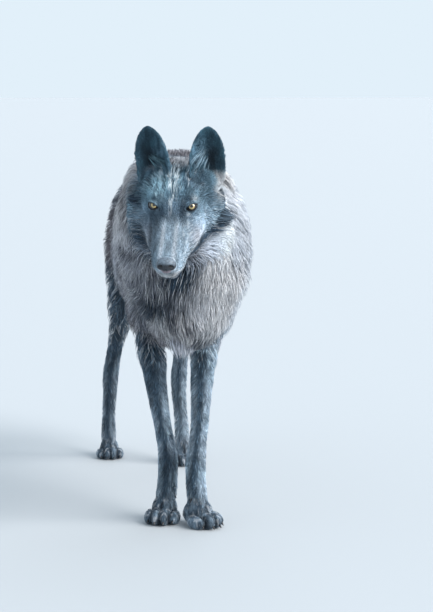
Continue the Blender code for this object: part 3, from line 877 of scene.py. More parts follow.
def face_colours(p):
    """The mask and muzzle, for places in the head's own frame."""
    x, y, z = p[:, 0], p[:, 1], p[:, 2]
    side = np.abs(x)
    streak = 0.55 * noise(p, (0.0022, 0.016, 0.016), 5) + 0.45 * noise(p, (0.006, 0.024, 0.024), 15)
    made = np.tile(SLATE, (len(p), 1))
    made = mix(made, TEAL, 0.5 * ramp(y, -0.02, 0.03))
    made = mix(made, STEEL, 0.85 * ramp(-y, 0.025, 0.06))
    # The bridge of the muzzle: a dark line with a pale one on each side.
    muzzle = ramp(-y, 0.030, 0.065)
    made = mix(made, SLATE, 0.30 * stripe(side, 0.003, 0.006) * muzzle * ramp(y, -0.125, -0.10))
    made = mix(made, SILVER, 0.45 * stripe(side, 0.0135, 0.0045) * muzzle)
    made = patched(made, p, CHEEK_PATCHES)
    # Painted shade: the wolf's right side of the muzzle and cheek is darkened, as the side away from the
    # light.
    painted_shade = ramp(-x, 0.014, 0.030) * (1 - ramp(y, -0.01, 0.035)) * (1 - ramp(z, 0.004, 0.016))
    made = mix(made, NAVY, 0.38 * painted_shade)
    speckle = noise(p, 0.0035, 18)
    made = mix(made, WHITE, 0.30 * ramp(speckle, 0.60, 0.80) * ramp(-z, 0.005, 0.02) * ramp(x, 0.0, 0.03))
    made = mix(made, NAVY, 0.30 * ramp(speckle, 0.40, 0.25) * ramp(-z, 0.005, 0.02))
    made = patched(made, p, EYE_PATCHES)
    # The forehead: dark and pale streaks, frost over the right eye, and a pale parting.
    crown = ramp(y, -0.010, 0.020)
    made = mix(made, NAVY, 0.60 * ramp(streak, 0.54, 0.70) * crown)
    made = mix(made, WHITE, 0.42 * (1 - ramp(streak, 0.28, 0.42)) * crown * (1 - ramp(side, 0.03, 0.06)))
    frost = 1.1 * spot(p, (-0.037, 0.028, 0.026), (0.024, 0.028, 0.03), False)
    made = mix(made, FROST, 0.88 * frost * (1 - 0.7 * ramp(streak, 0.50, 0.66)))
    parting = 0.004 + 0.007 * ramp(y, -0.03, 0.05)
    strands = noise(p, (0.0018, 0.011, 0.011), 19)
    made = mix(made, WHITE, (0.45 + 0.25 * crown) * ramp(strands, 0.42, 0.66)
               * (1 - ramp(np.abs(x + 0.003), 0.5 * parting, parting))
               * ramp(y, -0.040, -0.01) * (1 - ramp(y, 0.075, 0.10)))
    # The lips: a black line with pale hair above it.
    lips = mouth_distance(p)
    lip_edge = stripe(lips, 0.009, 0.005) * ramp(-y, 0.03, 0.05) * (z > -0.074)
    made = mix(made, WHITE, 0.6 * lip_edge)
    made = mix(made, BLACK, 0.9 * stripe(lips, 0.001, 0.003))
    # Behind the jaw: a dark edge, painted as the shadow under the jaw, then the ruff, dark under the throat
    # and pale beside it.
    below = 1 - ramp(z, -0.02, 0.01)
    behind = ramp(jaw_edge(p), -0.004, 0.010) * below
    made = mix(made, NAVY, (0.75 + 0.15 * ramp(x, -0.02, 0.02)) * behind)
    pale = ramp(jaw_edge(p), 0.014, 0.030) * below
    jaw_shadow_width = 0.012 - 0.005 * ramp(x, 0.06, 0.09)
    throat = stripe(x, -0.004, 0.032)
    made = mix(made, LILAC, 0.9 * pale * (0.35 + 0.65 * ramp(x, -0.05, 0.05)) * (1 - 0.95 * throat))
    made = mix(made, WARM, 0.9 * pale * ramp(x, 0.03, 0.07) * ramp(y, -0.02, 0.03))
    # Painted shadow: a darker band just below the jaw's edge on the wolf's left.
    made = mix(made, NAVY, 0.9 * stripe(jaw_edge(p), 0.008, jaw_shadow_width) * below * ramp(x, 0.02, 0.04))
    made = mix(made, WHITE, 0.7 * spot(p, (0.004, -0.140, -0.062), (0.018, 0.014, 0.006)))
    made = patched(made, p, TEMPLE_PATCHES)
    # From the eyes back the face is brighter, most in the blue: a painted sheen of the pale sky.
    made = made * (1 + np.outer(ramp(y, -0.050, -0.010), [0.16, 0.24, 0.28]))
    return mix(made, 0.2 * BEIGE + 0.5 * BROWN + 0.3 * SLATE,
               0.7 * ramp(y, 0.075, 0.10) * ramp(z, -0.02, 0.01))


# %% [markdown]
# ## Colours of the body
# The ruff is the palest part, and the wolf's left half of it the brightest. Dark guard hair lies over it in
# clumps 1 to 4 cm wide. Blender's own noise could draw them in the shader, but not on the tips of the locks
# in the same place, so the noise made above is used. Below the ruff the throat and the breast are dark, and
# the chest between them is pale.

# %% Colours of the body
def body_colours(p, n):
    """The ruff, chest, back and belly: pale on the left, darker on the right and on top."""
    x, y, z = p[:, 0], p[:, 1], p[:, 2]
    blotch = noise(p, (0.035, 0.05, 0.07), 1)
    made = mix(np.tile(0.6 * SLATE + 0.4 * BROWN, (len(p), 1)), LILAC, 0.65 * ramp(blotch, 0.25, 0.7))
    made = mix(made, BROWN, 0.5 * ramp(noise(p, (0.05, 0.06, 0.08), 2), 0.35, 0.65))
    made = mix(made, NAVY, 0.75 * ramp(n[:, 2], 0.45, 0.95) * ramp(y, -0.30, -0.15))
    made = mix(made, LILAC, 0.4 * ramp(-n[:, 2], 0.4, 0.9) * ramp(z, 0.38, 0.45))
    # The ruff: silver on its left half and on the crest beside the right ear.
    ruff = ramp(-y + 0.05 * blotch, -0.08, 0.20) * ramp(z, 0.38, 0.46)
    made = mix(made, LILAC, 0.40 * ramp(-y, -0.30, -0.05) * ramp(-x, 0.05, 0.09) * ramp(z, 0.42, 0.50))
    made = mix(made, LILAC, 0.55 * spot(p, (-0.105, -0.36, 0.670), (0.036, 0.16, 0.060), False))
    withers = ramp(n[:, 2], 0.35, 0.80) * ramp(y, -0.33, -0.20)
    made = mix(made, WARM, (0.95 - 0.7 * withers) * ruff * ramp(x, -0.005, 0.030) * ramp(blotch, -0.5, 0.1))
    # Painted shade: where the ruff faces out to the wolf's left and turns away, it is toned down to lavender
    # grey.
    made = mix(made, 0.6 * LILAC + 0.4 * STEEL, 0.75 * ruff * ramp(n[:, 0], 0.55, 0.95))
    crest = ramp(-x, 0.065, 0.10) * ramp(z, 0.70, 0.75) * ramp(-y, 0.05, 0.20)
    made = mix(made, 0.6 * WHITE + 0.4 * BEIGE, 0.55 * crest)
    # Its clumps of guard hair, dark on pale and pale on dark, and the brown nape between the ears.
    clumps = noise(p, (0.013, 0.03, 0.035), 23)
    dark_half = 1 - ramp(x, 0.00, 0.05)
    made = mix(made, 0.6 * NAVY + 0.4 * BROWN, ruff * (0.12 + 0.45 * dark_half) * ramp(clumps, 0.50, 0.70))
    made = mix(made, WARM, ruff * 0.45 * dark_half * (1 - ramp(clumps, 0.26, 0.42)) * ramp(z, 0.42, 0.52))
    nape = 1 - ramp(np.abs(x + 0.025), 0.045, 0.070)
    made = mix(made, 0.6 * BROWN + 0.4 * SLATE, 0.85 * nape * ramp(-y, 0.18, 0.30) * ramp(z, 0.76, 0.81))
    # The front: a pale chest between a dark throat, a dark right breast and dark hair over the left elbow.
    made = mix(made, 0.5 * LILAC + 0.5 * WARM,
               0.85 * spot(p, (0.008, -0.42, 0.555), (0.028, 0.12, 0.040), False))
    locks = ramp(noise(p, (0.012, 0.02, 0.05), 7), 0.10, 0.45)
    throat = spot(p, (-0.020, -0.39, 0.636), (0.036, 0.16, 0.038), False, 1.6)
    made = mix(made, NAVY, (0.80 + 0.20 * locks) * throat)
    breast = spot(p, (-0.060, -0.42, 0.535), (0.040, 0.14, 0.050), False, 1.3)
    made = mix(made, NAVY, (0.50 + 0.40 * locks) * breast)
    made = mix(made, NAVY, 0.95 * spot(p, (0.040, -0.32, 0.455), (0.032, 0.14, 0.038), False))
    chest = stripe(x, -0.01, 0.06) * ramp(-y, 0.28, 0.36) * (1 - ramp(z, 0.50, 0.56))
    strands = noise(p, (0.007, 0.02, 0.05), 17)
    return mix(made, WARM, 0.85 * chest * ramp(strands, 0.45, 0.62))


# %% [markdown]
# ## Colours of legs and paws
# The legs are dark in front and behind and mottled on their sides, because the pale undercoat shows where
# the short hair parts. The sides that face the wolf's left are paler still, partly as painted light. On the
# paws the clefts between the toes are painted dark as painted shade, and that, more than the shape, lets
# the eye count the toes.

# %% Colours of legs and paws
def leg_colours(p, n):
    """Dark down the front and the back of a leg, mottled paler on its two sides, most on the left ones; that
    paleness is partly painted light.
    """
    x, z = p[:, 0], p[:, 2]
    # Paler where the leg faces the wolf's left, partly a real marking and partly painted light, and a little
    # where it faces its right.
    side = ramp(n[:, 0], -0.20, 0.45) + 0.7 * ramp(-n[:, 0], 0.5, 0.9)
    side = side * (1 - 0.8 * ramp(-x, 0.0, 0.02) * ramp(z, 0.24, 0.32))
    mottle = 0.5 * noise(p, (0.004, 0.006, 0.015), 3) + 0.5 * noise(p, (0.008, 0.012, 0.030), 24)
    pale = side * ramp(mottle, 0.20, 0.58) * (1 - 0.5 * ramp(z, 0.42, 0.50))
    pale += 0.35 * ramp(x, 0.02, 0.05) * (1 - ramp(z, 0.15, 0.24))
    made = mix(np.tile(0.45 * NAVY + 0.55 * SLATE, (len(p), 1)), 0.5 * SILVER + 0.5 * STEEL, 0.92 * pale)
    made = mix(made, LILAC, 0.5 * ramp(noise(p, 0.03, 13), 0.4, 0.7) * side)
    wrist = stripe(z, 0.15, 0.028) * ramp(-n[:, 1], 0.0, 0.6) * (1 - 0.8 * ramp(x, 0.0, 0.02))
    made = mix(made, NAVY, 0.6 * wrist)
    made = made * [0.92, 1.04, 1.10]
    return mix(made, BLACK, 0.45 * ramp(noise(p, (0.004, 0.006, 0.016), 4), 0.54, 0.74))


def in_frame(p, frame_matrix):
    """The places as seen in a frame of their own, such as a paw's or an ear's."""
    inside = np.array(frame_matrix.inverted())
    return p @ inside[:3, :3].T + inside[:3, 3]


TOE_GAP = 0.0195        # metres from the middle of a paw to the cleft beside its outer toe
CLEFT_SHADE_HALF = 0.0036       # half the width of the painted shade in a cleft


def paw_colours(p, legs):
    """As the leg above, with painted shade in the clefts between the toes."""
    cleft_shade = np.zeros(len(p))
    for name in PAWS:
        own = in_frame(p, paw_frame(name))
        between = stripe(np.abs(own[:, 0]), TOE_GAP, CLEFT_SHADE_HALF) + stripe(own[:, 0], 0, CLEFT_SHADE_HALF)
        near = (np.linalg.norm(own, axis=1) < 0.08) * ramp(-own[:, 1], 0.004, 0.020)
        cleft_shade = np.maximum(cleft_shade, between * near)
    made = mix(0.5 * legs + 0.5 * TOE_GREY, NAVY, 0.60 * ramp(noise(p, 0.010, 25), 0.40, 0.60))
    made = mix(made, SILVER, 0.45 * ramp(noise(p, (0.004, 0.004, 0.010), 26), 0.58, 0.76))
    # Painted shade: the clefts between the toes are darkened nearly to black.
    return mix(made, BLACK, 0.9 * np.minimum(cleft_shade, 1))


# %% [markdown]
# ## Colours of the ears
# The hollow of the ear is painted nearly black, as painted shade inside its cup, and long pale hair from its
# inner edge hangs over it. Both are placed in the ear's own frame, across it and up it, so that they keep
# their place when the ear is turned.

# %% Colours of the ears
def ear_places(p):
    """How far across each ear (1 at the edge nearer the other ear) and how far up it each point is."""
    nearer = np.where(p[:, 0] > float(EYE_MIDDLE.x) + 0.02, 1, -1)
    across, up = np.zeros(len(p)), np.zeros(len(p))
    for name, side in (("ear_right", -1), ("ear_left", 1)):
        own = in_frame(p, ear_frame(name))
        across = np.where(nearer == side, -side * own[:, 0] / (EAR_WIDE / 2), across)
        up = np.where(nearer == side, own[:, 2] / EAR_TALL, up)
    return across, up


def ear_fringe(p, n):
    """1 where long pale hair grows from the ear's inner edge over its hollow."""
    across, up = ear_places(p)
    return ramp(across, -0.15, 0.45) * (1 - ramp(up, 0.55, 0.85)) * ramp(-n[:, 1], 0.2, 0.6)


def ear_colours(p, n):
    """A dark hollow of painted shade, with a fringe, and a brownish back."""
    across, up = ear_places(p)
    streak = noise(p, (0.004, 0.02, 0.016), 6)
    made = mix(np.tile(NAVY, (len(p), 1)), EAR_BLUE, 0.22 + 0.34 * ramp(-n[:, 1], -0.2, 0.4)
               + 0.44 * ramp(noise(p, 0.014, 6), 0.45, 0.8))
    front = ramp(-n[:, 1], 0.1, 0.5)
    # Painted shade: the cup on the front of the ear is darkened nearly to black.
    hollow = front * np.exp(-(((across + 0.25) / 0.42) ** 2 + ((up - 0.35) / 0.32) ** 2))
    made = mix(made, BLACK, 0.9 * hollow)
    made = mix(made, 0.4 * STEEL + 0.6 * FRINGE_BLUE, 0.75 * ear_fringe(p, n) * ramp(streak, 0.25, 0.6))
    made = mix(made, WARM,
               0.7 * (1 - ramp(up, 0.00, 0.16)) * ramp(-across, 0.1, 0.5) * ramp(p[:, 0], 0, 0.03))
    return mix(made, BEIGE, 0.6 * ramp(n[:, 1], 0.2, 0.7) * (1 - ramp(up, 0.15, 0.5)))


# %% [markdown]
# ## All markings together
# Each region has its own function, and a place on a border takes a share of each, as the blurred regions
# say. The result is written on the skin as a colour attribute. Bare dark skin is laid along the lids.

# %% Markings on the skin
def markings(p, n, weights):
    """The colour at places with outward directions, mixed by how much of each region is there."""
    share = {name: weights[:, i:i + 1] for i, name in enumerate(REGIONS)}
    legs = leg_colours(p, n)
    made = share["head"] * face_colours(to_head(p)) + share["ear"] * ear_colours(p, n)
    made += (share["neck"] + share["trunk"]) * body_colours(p, n)
    made += share["foreleg"] * legs + share["hindleg"] * mix(legs, NAVY, np.full(len(p), 0.35))
    made += share["paw"] * paw_colours(p, legs)
    tail = mix(np.tile(SLATE, (len(p), 1)), BLACK, 0.8 * (1 - ramp(p[:, 2], 0.30, 0.42)))
    return made + share["tail"] * tail


def put_colours(mesh, name, colours):
    layer = mesh.color_attributes.new(name, "FLOAT_COLOR", "POINT")
    with_alpha = np.hstack((colours, np.ones((len(colours), 1))))
    layer.data.foreach_set("color", with_alpha.astype(np.float32).ravel())


# Deep under the coat the skin is darker than the hair, so that the gaps between locks read as shadow.
skin_colours = markings(places, outward, REGION)
paleness = ramp(skin_colours.mean(axis=1), 0.2, 0.7)
skin_colours *= (0.5 + 0.35 * (1 - ramp(height, 0.004, 0.02)) + 0.25 * paleness)[:, None].clip(0, 0.9)
for _, sign in SIDES:
    outside, radius = lid_distance(local, sign)
    close = (radius < 2 * EYE_RADIUS) * (1 - ramp(outside, 0.0014, 0.0034))
    skin_colours = mix(skin_colours, RIM_DARK, close)
put_colours(skin.data, "coat", skin_colours)
report("markings")


# %% [markdown]
# ## Materials
# Hair is keratin: a dull dielectric with a soft shine along its length. Blender's hair shader is made for
# curves, so a rough Principled shader stands in for it on solid locks. Bare skin round the eyes and lips is
# darker. The nose is pebbled leather, kept damp, and the claws are horn. Colour comes from an attribute on
# the points, where the markings are written, so that skin and coat agree.

# %% Material helpers
def add(tree, kind, links=(), **settings):
    """A shader node with its settings, and links given as (its input, another node's output)."""
    made = tree.nodes.new(kind)
    for key, value in settings.items():
        setattr(made, key, value)
    for socket, value in links:
        if isinstance(value, bpy.types.NodeSocket):
            tree.links.new(value, made.inputs[socket])
        else:
            made.inputs[socket].default_value = value
    return made


def look(name, **sockets):
    """A new Principled material with these values on its sockets, and its node tree and shader."""
    material = bpy.data.materials.new(name)
    material.use_nodes = True
    shader = material.node_tree.nodes["Principled BSDF"]
    for socket, value in sockets.items():
        shader.inputs[socket.replace("_", " ")].default_value = value
    return material, material.node_tree, shader


def painted(tree, shader, attribute):
    """Takes the base colour from a colour attribute of the mesh's points."""
    source = add(tree, "ShaderNodeAttribute", attribute_name=attribute)
    tree.links.new(source.outputs["Color"], shader.inputs["Base Color"])


def bump(tree, shader, height_socket, distance, strength=1.0):
    made = add(tree, "ShaderNodeBump",
               [("Height", height_socket), ("Distance", distance), ("Strength", strength)])
    tree.links.new(made.outputs["Normal"], shader.inputs["Normal"])


# Long hair. The eye takes it as dull, with only a faint shine where many hairs lie the same way.
fur_look, tree, shader = look("guard_hair_and_undercoat", Roughness=0.75, Specular_IOR_Level=0.22)
painted(tree, shader, "coat")

# Short fur between the locks. Its grain tells the eye that this too is hair and not a smooth hide.
# A hair is 0.07 mm thick; the grain is drawn at about 1.1 mm, coarser, because finer would only shimmer.
FUR_GRAIN = 900.0       # grains in a metre
skin_look, tree, shader = look("short_fur_on_skin", Roughness=0.7, Specular_IOR_Level=0.3)
painted(tree, shader, "coat")
place = add(tree, "ShaderNodeTexCoord")
hairs = add(tree, "ShaderNodeTexNoise",
            [("Vector", place.outputs["Object"]), ("Scale", FUR_GRAIN), ("Detail", 2.0)])
bump(tree, shader, hairs.outputs["Fac"], 0.0008)
skin.data.materials.append(skin_look)

# The nose's leather is pebbled, at about the real size of 1.1 mm, with a thin damp film that gives a glint.
PEBBLES = 900.0         # pebbles in a metre
nose_look, tree, shader = look("damp_nose_leather", Roughness=0.5, Specular_IOR_Level=0.4,
                               Coat_Weight=0.15, Coat_Roughness=0.3)
painted(tree, shader, "pad")
place = add(tree, "ShaderNodeTexCoord")
pebbles = add(tree, "ShaderNodeTexVoronoi", [("Vector", place.outputs["Object"]), ("Scale", PEBBLES)])
bump(tree, shader, pebbles.outputs["Distance"], 0.0005, 0.7)

# Claws are worn horn: almost black, and smooth enough for a small highlight. Whiskers are thin and glossy.
claw_look, tree, shader = look("dark_horn", Roughness=0.35)
shader.inputs["Base Color"].default_value = (*linear("#1d1f24"), 1)
whisker_look, tree, shader = look("black_whisker", Roughness=0.4)
shader.inputs["Base Color"].default_value = (*linear("#101318"), 1)


# %% [markdown]
# ## Eyes
# A wolf's iris is amber, with fine streaks out from a round pupil and a dark ring at its edge, and a clear
# cornea bulges over it. A glass dome over a flat iris would be truer from very near, but it renders slowly
# and is often lost on export. So each eye is one wet ball with a slight bulge. Its UV map measures the
# distance from the pupil's middle in iris radii, and the material draws pupil, streaks and ring from that.

# %% Eye material
IRIS_RADIUS, PUPIL = 0.0072, 0.42       # metres, and the pupil's share of the iris radius
# The cornea is wet: a clear glossy film over a softer iris, which gives the sharp glint of a living eye.
eye_look, tree, shader = look("wet_amber_eye", Roughness=0.12, Coat_Weight=1.0, Coat_Roughness=0.03)
gaze = add(tree, "ShaderNodeUVMap", uv_map="gaze")
flat = add(tree, "ShaderNodeSeparateXYZ", [("Vector", gaze.outputs["UV"])])
out_from_pupil = add(tree, "ShaderNodeVectorMath", [(0, gaze.outputs["UV"])], operation="LENGTH")
angle = add(tree, "ShaderNodeMath", [(0, flat.outputs["Y"]), (1, flat.outputs["X"])], operation="ARCTAN2")
polar = add(tree, "ShaderNodeCombineXYZ", [("X", angle.outputs[0]), ("Y", out_from_pupil.outputs["Value"])])
stretch = add(tree, "ShaderNodeVectorMath", [(0, polar.outputs[0]), (1, (7.0, 1.2, 1.0))],
              operation="MULTIPLY")
streaks = add(tree, "ShaderNodeTexNoise",
              [("Vector", stretch.outputs[0]), ("Scale", 2.5), ("Detail", 3.0)])
# The streaks move the colour's edges in and out by up to 0.08 iris radii.
wobble = add(tree, "ShaderNodeMath", [(0, streaks.outputs["Fac"]), (1, 0.16), (2, -0.08)],
             operation="MULTIPLY_ADD")
where = add(tree, "ShaderNodeMath", [(0, out_from_pupil.outputs["Value"]), (1, wobble.outputs[0])],
            operation="ADD")
iris = add(tree, "ShaderNodeValToRGB", [("Fac", where.outputs[0])])
# Pupil, brown inner ring, amber, and the dark ring at the iris's edge.
STOPS = ((0.0, "#020203"), (PUPIL - 0.02, "#020203"), (PUPIL + 0.04, "#6b5a38"),
         (0.58, "#b5a473"), (0.80, "#a8935e"), (0.90, "#3a2f1c"), (1.0, "#0b0a0a"))
ramp_stops = iris.color_ramp.elements
while len(ramp_stops) < len(STOPS):
    ramp_stops.new(0.5)
for stop, (position, code) in zip(ramp_stops, STOPS):
    stop.position = position
    stop.color = (*linear(code), 1)
tree.links.new(iris.outputs["Color"], shader.inputs["Base Color"])


# %% Eyeballs
GAZE_UP = 0.12          # how far above the camera the wolf looks, as a part of the distance
BULGE = 0.0009          # metres: how far the cornea stands out of the ball


def eyeball(side, sign):
    """A ball of rings round the line of sight, with the distance from the pupil's middle as its UV map."""
    rings, around = 40, 48
    centre = np.array(EYE_MIDDLE) + TURN @ np.array([sign * EYE_SPREAD, 0, 0])
    towards = unit(unit(np.array(CAMERA_PLACE) - centre) + [0, 0, GAZE_UP])
    right = unit(np.cross(towards, [0, 0, 1]))
    up = np.cross(right, towards)
    bm = bmesh.new()
    layer = bm.loops.layers.uv.new("gaze")
    flat_of = {}
    rows = []
    for i in range(1, rings):
        angle = math.pi * i / rings
        across, forward = math.sin(angle) * EYE_RADIUS, math.cos(angle) * EYE_RADIUS
        forward += BULGE * math.exp(-(across / (0.8 * IRIS_RADIUS)) ** 4) * (forward > 0)
        row = []
        for k in range(around):
            c, s = math.cos(math.tau * k / around), math.sin(math.tau * k / around)
            vert = bm.verts.new(centre + forward * towards + across * (c * right + s * up))
            reach = across if forward > 0 else 2 * EYE_RADIUS - across
            flat_of[vert] = (c * reach / IRIS_RADIUS, s * reach / IRIS_RADIUS)
            row.append(vert)
        rows.append(row)
    front = bm.verts.new(centre + (EYE_RADIUS + BULGE) * towards)
    back = bm.verts.new(centre - EYE_RADIUS * towards)
    flat_of[front], flat_of[back] = (0, 0), (3, 0)
    for a, b in zip(rows, rows[1:]):
        for k in range(around):
            bm.faces.new((a[k], b[k], b[(k + 1) % around], a[(k + 1) % around]))
    for k in range(around):
        bm.faces.new((front, rows[0][k], rows[0][(k + 1) % around]))
        bm.faces.new((back, rows[-1][(k + 1) % around], rows[-1][k]))
    for face in bm.faces:
        face.smooth = True
        for loop in face.loops:
            loop[layer].uv = flat_of[loop.vert]
    bmesh.ops.recalc_face_normals(bm, faces=bm.faces)
    made = from_bmesh("eyeball_" + side, bm)
    made.data.materials.append(eye_look)
    return made


for side, sign in SIDES:
    piece = eyeball(side, sign)
    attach(piece, "root")
    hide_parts("eye_" + side)
report("eyes")


# %% [markdown]
# ## Nose pad
# A wolf's nose pad is bare and blunt, with a nostril on each side that opens forwards and curls back in a
# slit. It could be carved with booleans. Four balls are melted instead, and the nostrils and the groove
# between them are pressed in by moving points, which leaves soft edges like the real ones.

# %% Nose pad
# Middle and radii of each ball, in the head's own frame.
NOSE = (
    ((0, -0.139, -0.026), (0.0195, 0.0140, 0.0125)),        # top, from nostril to nostril
    ((0, -0.143, -0.036), (0.0125, 0.0120, 0.0120)),        # front, down to the lip
    ((-0.011, -0.139, -0.030), (0.0100, 0.0130, 0.0105)),   # wings
    ((0.011, -0.139, -0.030), (0.0100, 0.0130, 0.0105)),
)
# Each nostril is three dents, from its middle out to its side: place, radius and depth.
NOSTRIL = (
    ((0.0095, -0.1530, -0.0245), 0.0036, 0.0065),
    ((0.0135, -0.1510, -0.0265), 0.0030, 0.0055),
    ((0.0170, -0.1455, -0.0300), 0.0022, 0.0030),
)
NOSE_VOXEL = 0.0009     # metres
nose = melted("nose_pad", [ellipsoid("mass", place, radii) for place, radii in NOSE], NOSE_VOXEL, 4)
pad = points_of(nose.data)
for _, sign in SIDES:
    for (x, y, z), size, deep in NOSTRIL:
        near = np.exp(-(np.linalg.norm(pad - (sign * x, y, z), axis=1) / size) ** 2)
        pad += np.array([0, 1, 0.1]) * (deep * near)[:, None]
groove = stripe(pad[:, 0], 0, 0.0011) * ramp(-pad[:, 2], 0.024, 0.030) * (pad[:, 1] < -0.14)
pad += np.array([0, 0.0016, 0]) * groove[:, None]
# A painted highlight of the pale sky on top, dull below, and painted shade, black, in the nostrils.
edge = pad[:, 2] + 0.45 * np.abs(pad[:, 0]) + 0.002 * noise(pad, 0.003, 21)
painted_highlight = ramp(edge, -0.0190, -0.0125)
pad_colours = mix(np.tile(linear("#262c34"), (len(pad), 1)), linear("#6d7c8a"),
                  0.85 * painted_highlight * (0.55 + 0.45 * ramp(noise(pad, 0.0022, 22), 0.3, 0.6)))
pad_colours = mix(pad_colours, linear("#857b84"), 0.85 * ramp(-pad[:, 2], 0.032, 0.037))
# Painted shade: the dents of the nostrils are painted black.
for _, sign in SIDES:
    from_hole = np.linalg.norm((pad - [sign * 0.0105, -0.150, -0.0250]) / [1, 2, 0.8], axis=1)
    pad_colours = mix(pad_colours, linear("#050607"), 1.3 * stripe(from_hole, 0, 0.0042))
put_colours(nose.data, "pad", pad_colours)
set_points(nose.data, from_head(pad))
nose.data.materials.append(nose_look)
nose.data.shade_smooth()
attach(nose, "root")
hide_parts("nose")


# %% [markdown]
# ## Claws and whiskers
# A claw is a bent cone and a whisker a very thin one. Either could be a curve with a bevel, but curves have
# to be turned into a mesh before they are handed on. So one function draws a tapered rod through a few
# points and makes both.

# %% Tapered bent rods
def rod(bm, points, radii, around=8):
    """A closed rod round the points, with these radii, ending in a point."""
    points = [Vector(p) for p in points]
    rings = []
    for i, (point, radius) in enumerate(zip(points[:-1], radii)):
        along = (points[i + 1] - points[max(i - 1, 0)]).normalized()
        turned = along.to_track_quat("Z", "Y").to_matrix()
        angles = [math.tau * k / around for k in range(around)]
        rings.append([bm.verts.new(point + turned @ Vector((radius * math.cos(a), radius * math.sin(a), 0)))
                      for a in angles])
    tip = bm.verts.new(points[-1])
    for a, b in zip(rings, rings[1:]):
        for k in range(around):
            bm.faces.new((a[k], a[(k + 1) % around], b[(k + 1) % around], b[k]))
    for k in range(around):
        bm.faces.new((rings[-1][k], rings[-1][(k + 1) % around], tip))
    bm.faces.new(rings[0][::-1])


# %% Claws
# X and y of each claw's root on a paw that stands at the origin.
CLAWS = ((-0.0285, -0.036), (-0.0100, -0.051), (0.0100, -0.051), (0.0285, -0.036))
CLAW_ROOT, DEWCLAW_ROOT = 0.0034, 0.0028        # radii in metres
steps = [i / 6 for i in range(7)]
for name in PAWS:
    bm = bmesh.new()
    for x, y in CLAWS:
        rod(bm, [(x, y + 0.004 - 0.013 * t, 0.0120 - 0.001 * t - 0.008 * t * t) for t in steps],
            [CLAW_ROOT * (1 - t) ** 0.5 for t in steps])
    bm.transform(paw_frame(name))
    if "fore" in name:
        inner = 1 if "right" in name else -1
        dewclaw = paw_frame(name) @ Vector((inner * 0.022, 0.006, 0.066))
        rod(bm, [dewclaw + Vector((inner * 0.007 * t, -0.004 * t, -0.012 * t)) for t in steps],
            [DEWCLAW_ROOT * (1 - t) ** 0.6 for t in steps])
    bmesh.ops.recalc_face_normals(bm, faces=bm.faces)
    claws = from_bmesh(name + "_claws", bm)
    claws.data.materials.append(claw_look)
    claws.data.shade_smooth()
    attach(claws, "root")


# %% Whiskers
# Three rows of five on each side. Real whiskers are 0.3 mm thick. These are 0.7 mm at the root, to show.
WHISKER_ROOT = 0.00035
steps = (0, 0.25, 0.5, 0.75, 1)
bm = bmesh.new()
for _, sign in SIDES:
    for row in range(3):
        for k in range(5):
            start = np.array([sign * (0.031 + 0.001 * k), -0.122 + 0.013 * k, -0.043 - 0.008 * row])
            reach = 0.034 + 0.006 * k + 0.004 * RANDOM.random()
            aim = unit(np.array([sign * 0.85, 0.30 + 0.12 * k, 0.18 - 0.16 * row]))
            bend = np.array([0, 0.010, -0.006])
            path = [from_head(start + aim * reach * t + bend * t * t) for t in steps]
            rod(bm, path, [WHISKER_ROOT * (1 - 0.9 * t) for t in steps], 4)
bmesh.ops.recalc_face_normals(bm, faces=bm.faces)
whiskers = from_bmesh("whiskers", bm)
whiskers.data.materials.append(whisker_look)
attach(whiskers, "root")
report("nose, claws and whiskers")


# %% [markdown]
# ## Coat
# Fur could be grown as particles or curves, but those are lost when a model is handed on. So each lock is
# solid mesh: a thin closed spike with three sides. Its root is buried in the skin, its path creeps along
# the skin in the lie of the coat while it rises to the coat's depth, and the tips of neighbours draw
# together into clumps. A lock stands for some dozens of hairs.

# %% Face fields for the locks
skin_mesh = skin.data
skin_mesh.calc_loop_triangles()
triangles = np.empty(len(skin_mesh.loop_triangles) * 3, np.int32)
skin_mesh.loop_triangles.foreach_get("vertices", triangles)
triangles = triangles.reshape(-1, 3)
corners = places[triangles]
middles = corners.mean(axis=1)
area = np.linalg.norm(np.cross(corners[:, 1] - corners[:, 0], corners[:, 2] - corners[:, 0]), axis=1) / 2
face_region = REGION[triangles].mean(axis=1)
face_lie = unit(lie[triangles].mean(axis=1))
face_out = unit(blurred(outward, edges, 2)[triangles].mean(axis=1))
face_height = height[triangles].mean(axis=1)
SKIN_TREE = BVHTree.FromPolygons(places.tolist(), triangles.tolist())

# For each region: hair length as a multiple of the coat's depth, and the least and most of it in metres.
LENGTH = {"head": (1.7, 0.0065, 0.048), "ear": (3.0, 0.008, 0.011), "neck": (1.65, 0.030, 0.082),
          "trunk": (1.6, 0.028, 0.062), "tail": (1.8, 0.030, 0.066), "foreleg": (2.0, 0.011, 0.050),
          "hindleg": (2.0, 0.011, 0.045), "paw": (2.0, 0.008, 0.013)}
# How closely each region is covered, against the head.
COVER = {"head": 1.0, "ear": 0.9, "neck": 1.4, "trunk": 1.15, "tail": 0.9, "foreleg": 0.75,
         "hindleg": 0.55, "paw": 0.45}
TRIANGLES_WANTED = 1.40e6
LONG, SHORT = 3, 2      # steps in a long lock and in a short one
LONG_HAIR = 0.022       # metres: locks above this are long ones

factor, least, most = (by_region({name: row[k] for name, row in LENGTH.items()}, face_region)
                       for k in range(3))
length = np.clip(face_height * factor, least, most)
long_hair = length > LONG_HAIR
width = 0.0008 + 0.018 * length
density = by_region(COVER, face_region) * (3 + 130 * length) / (length * width)
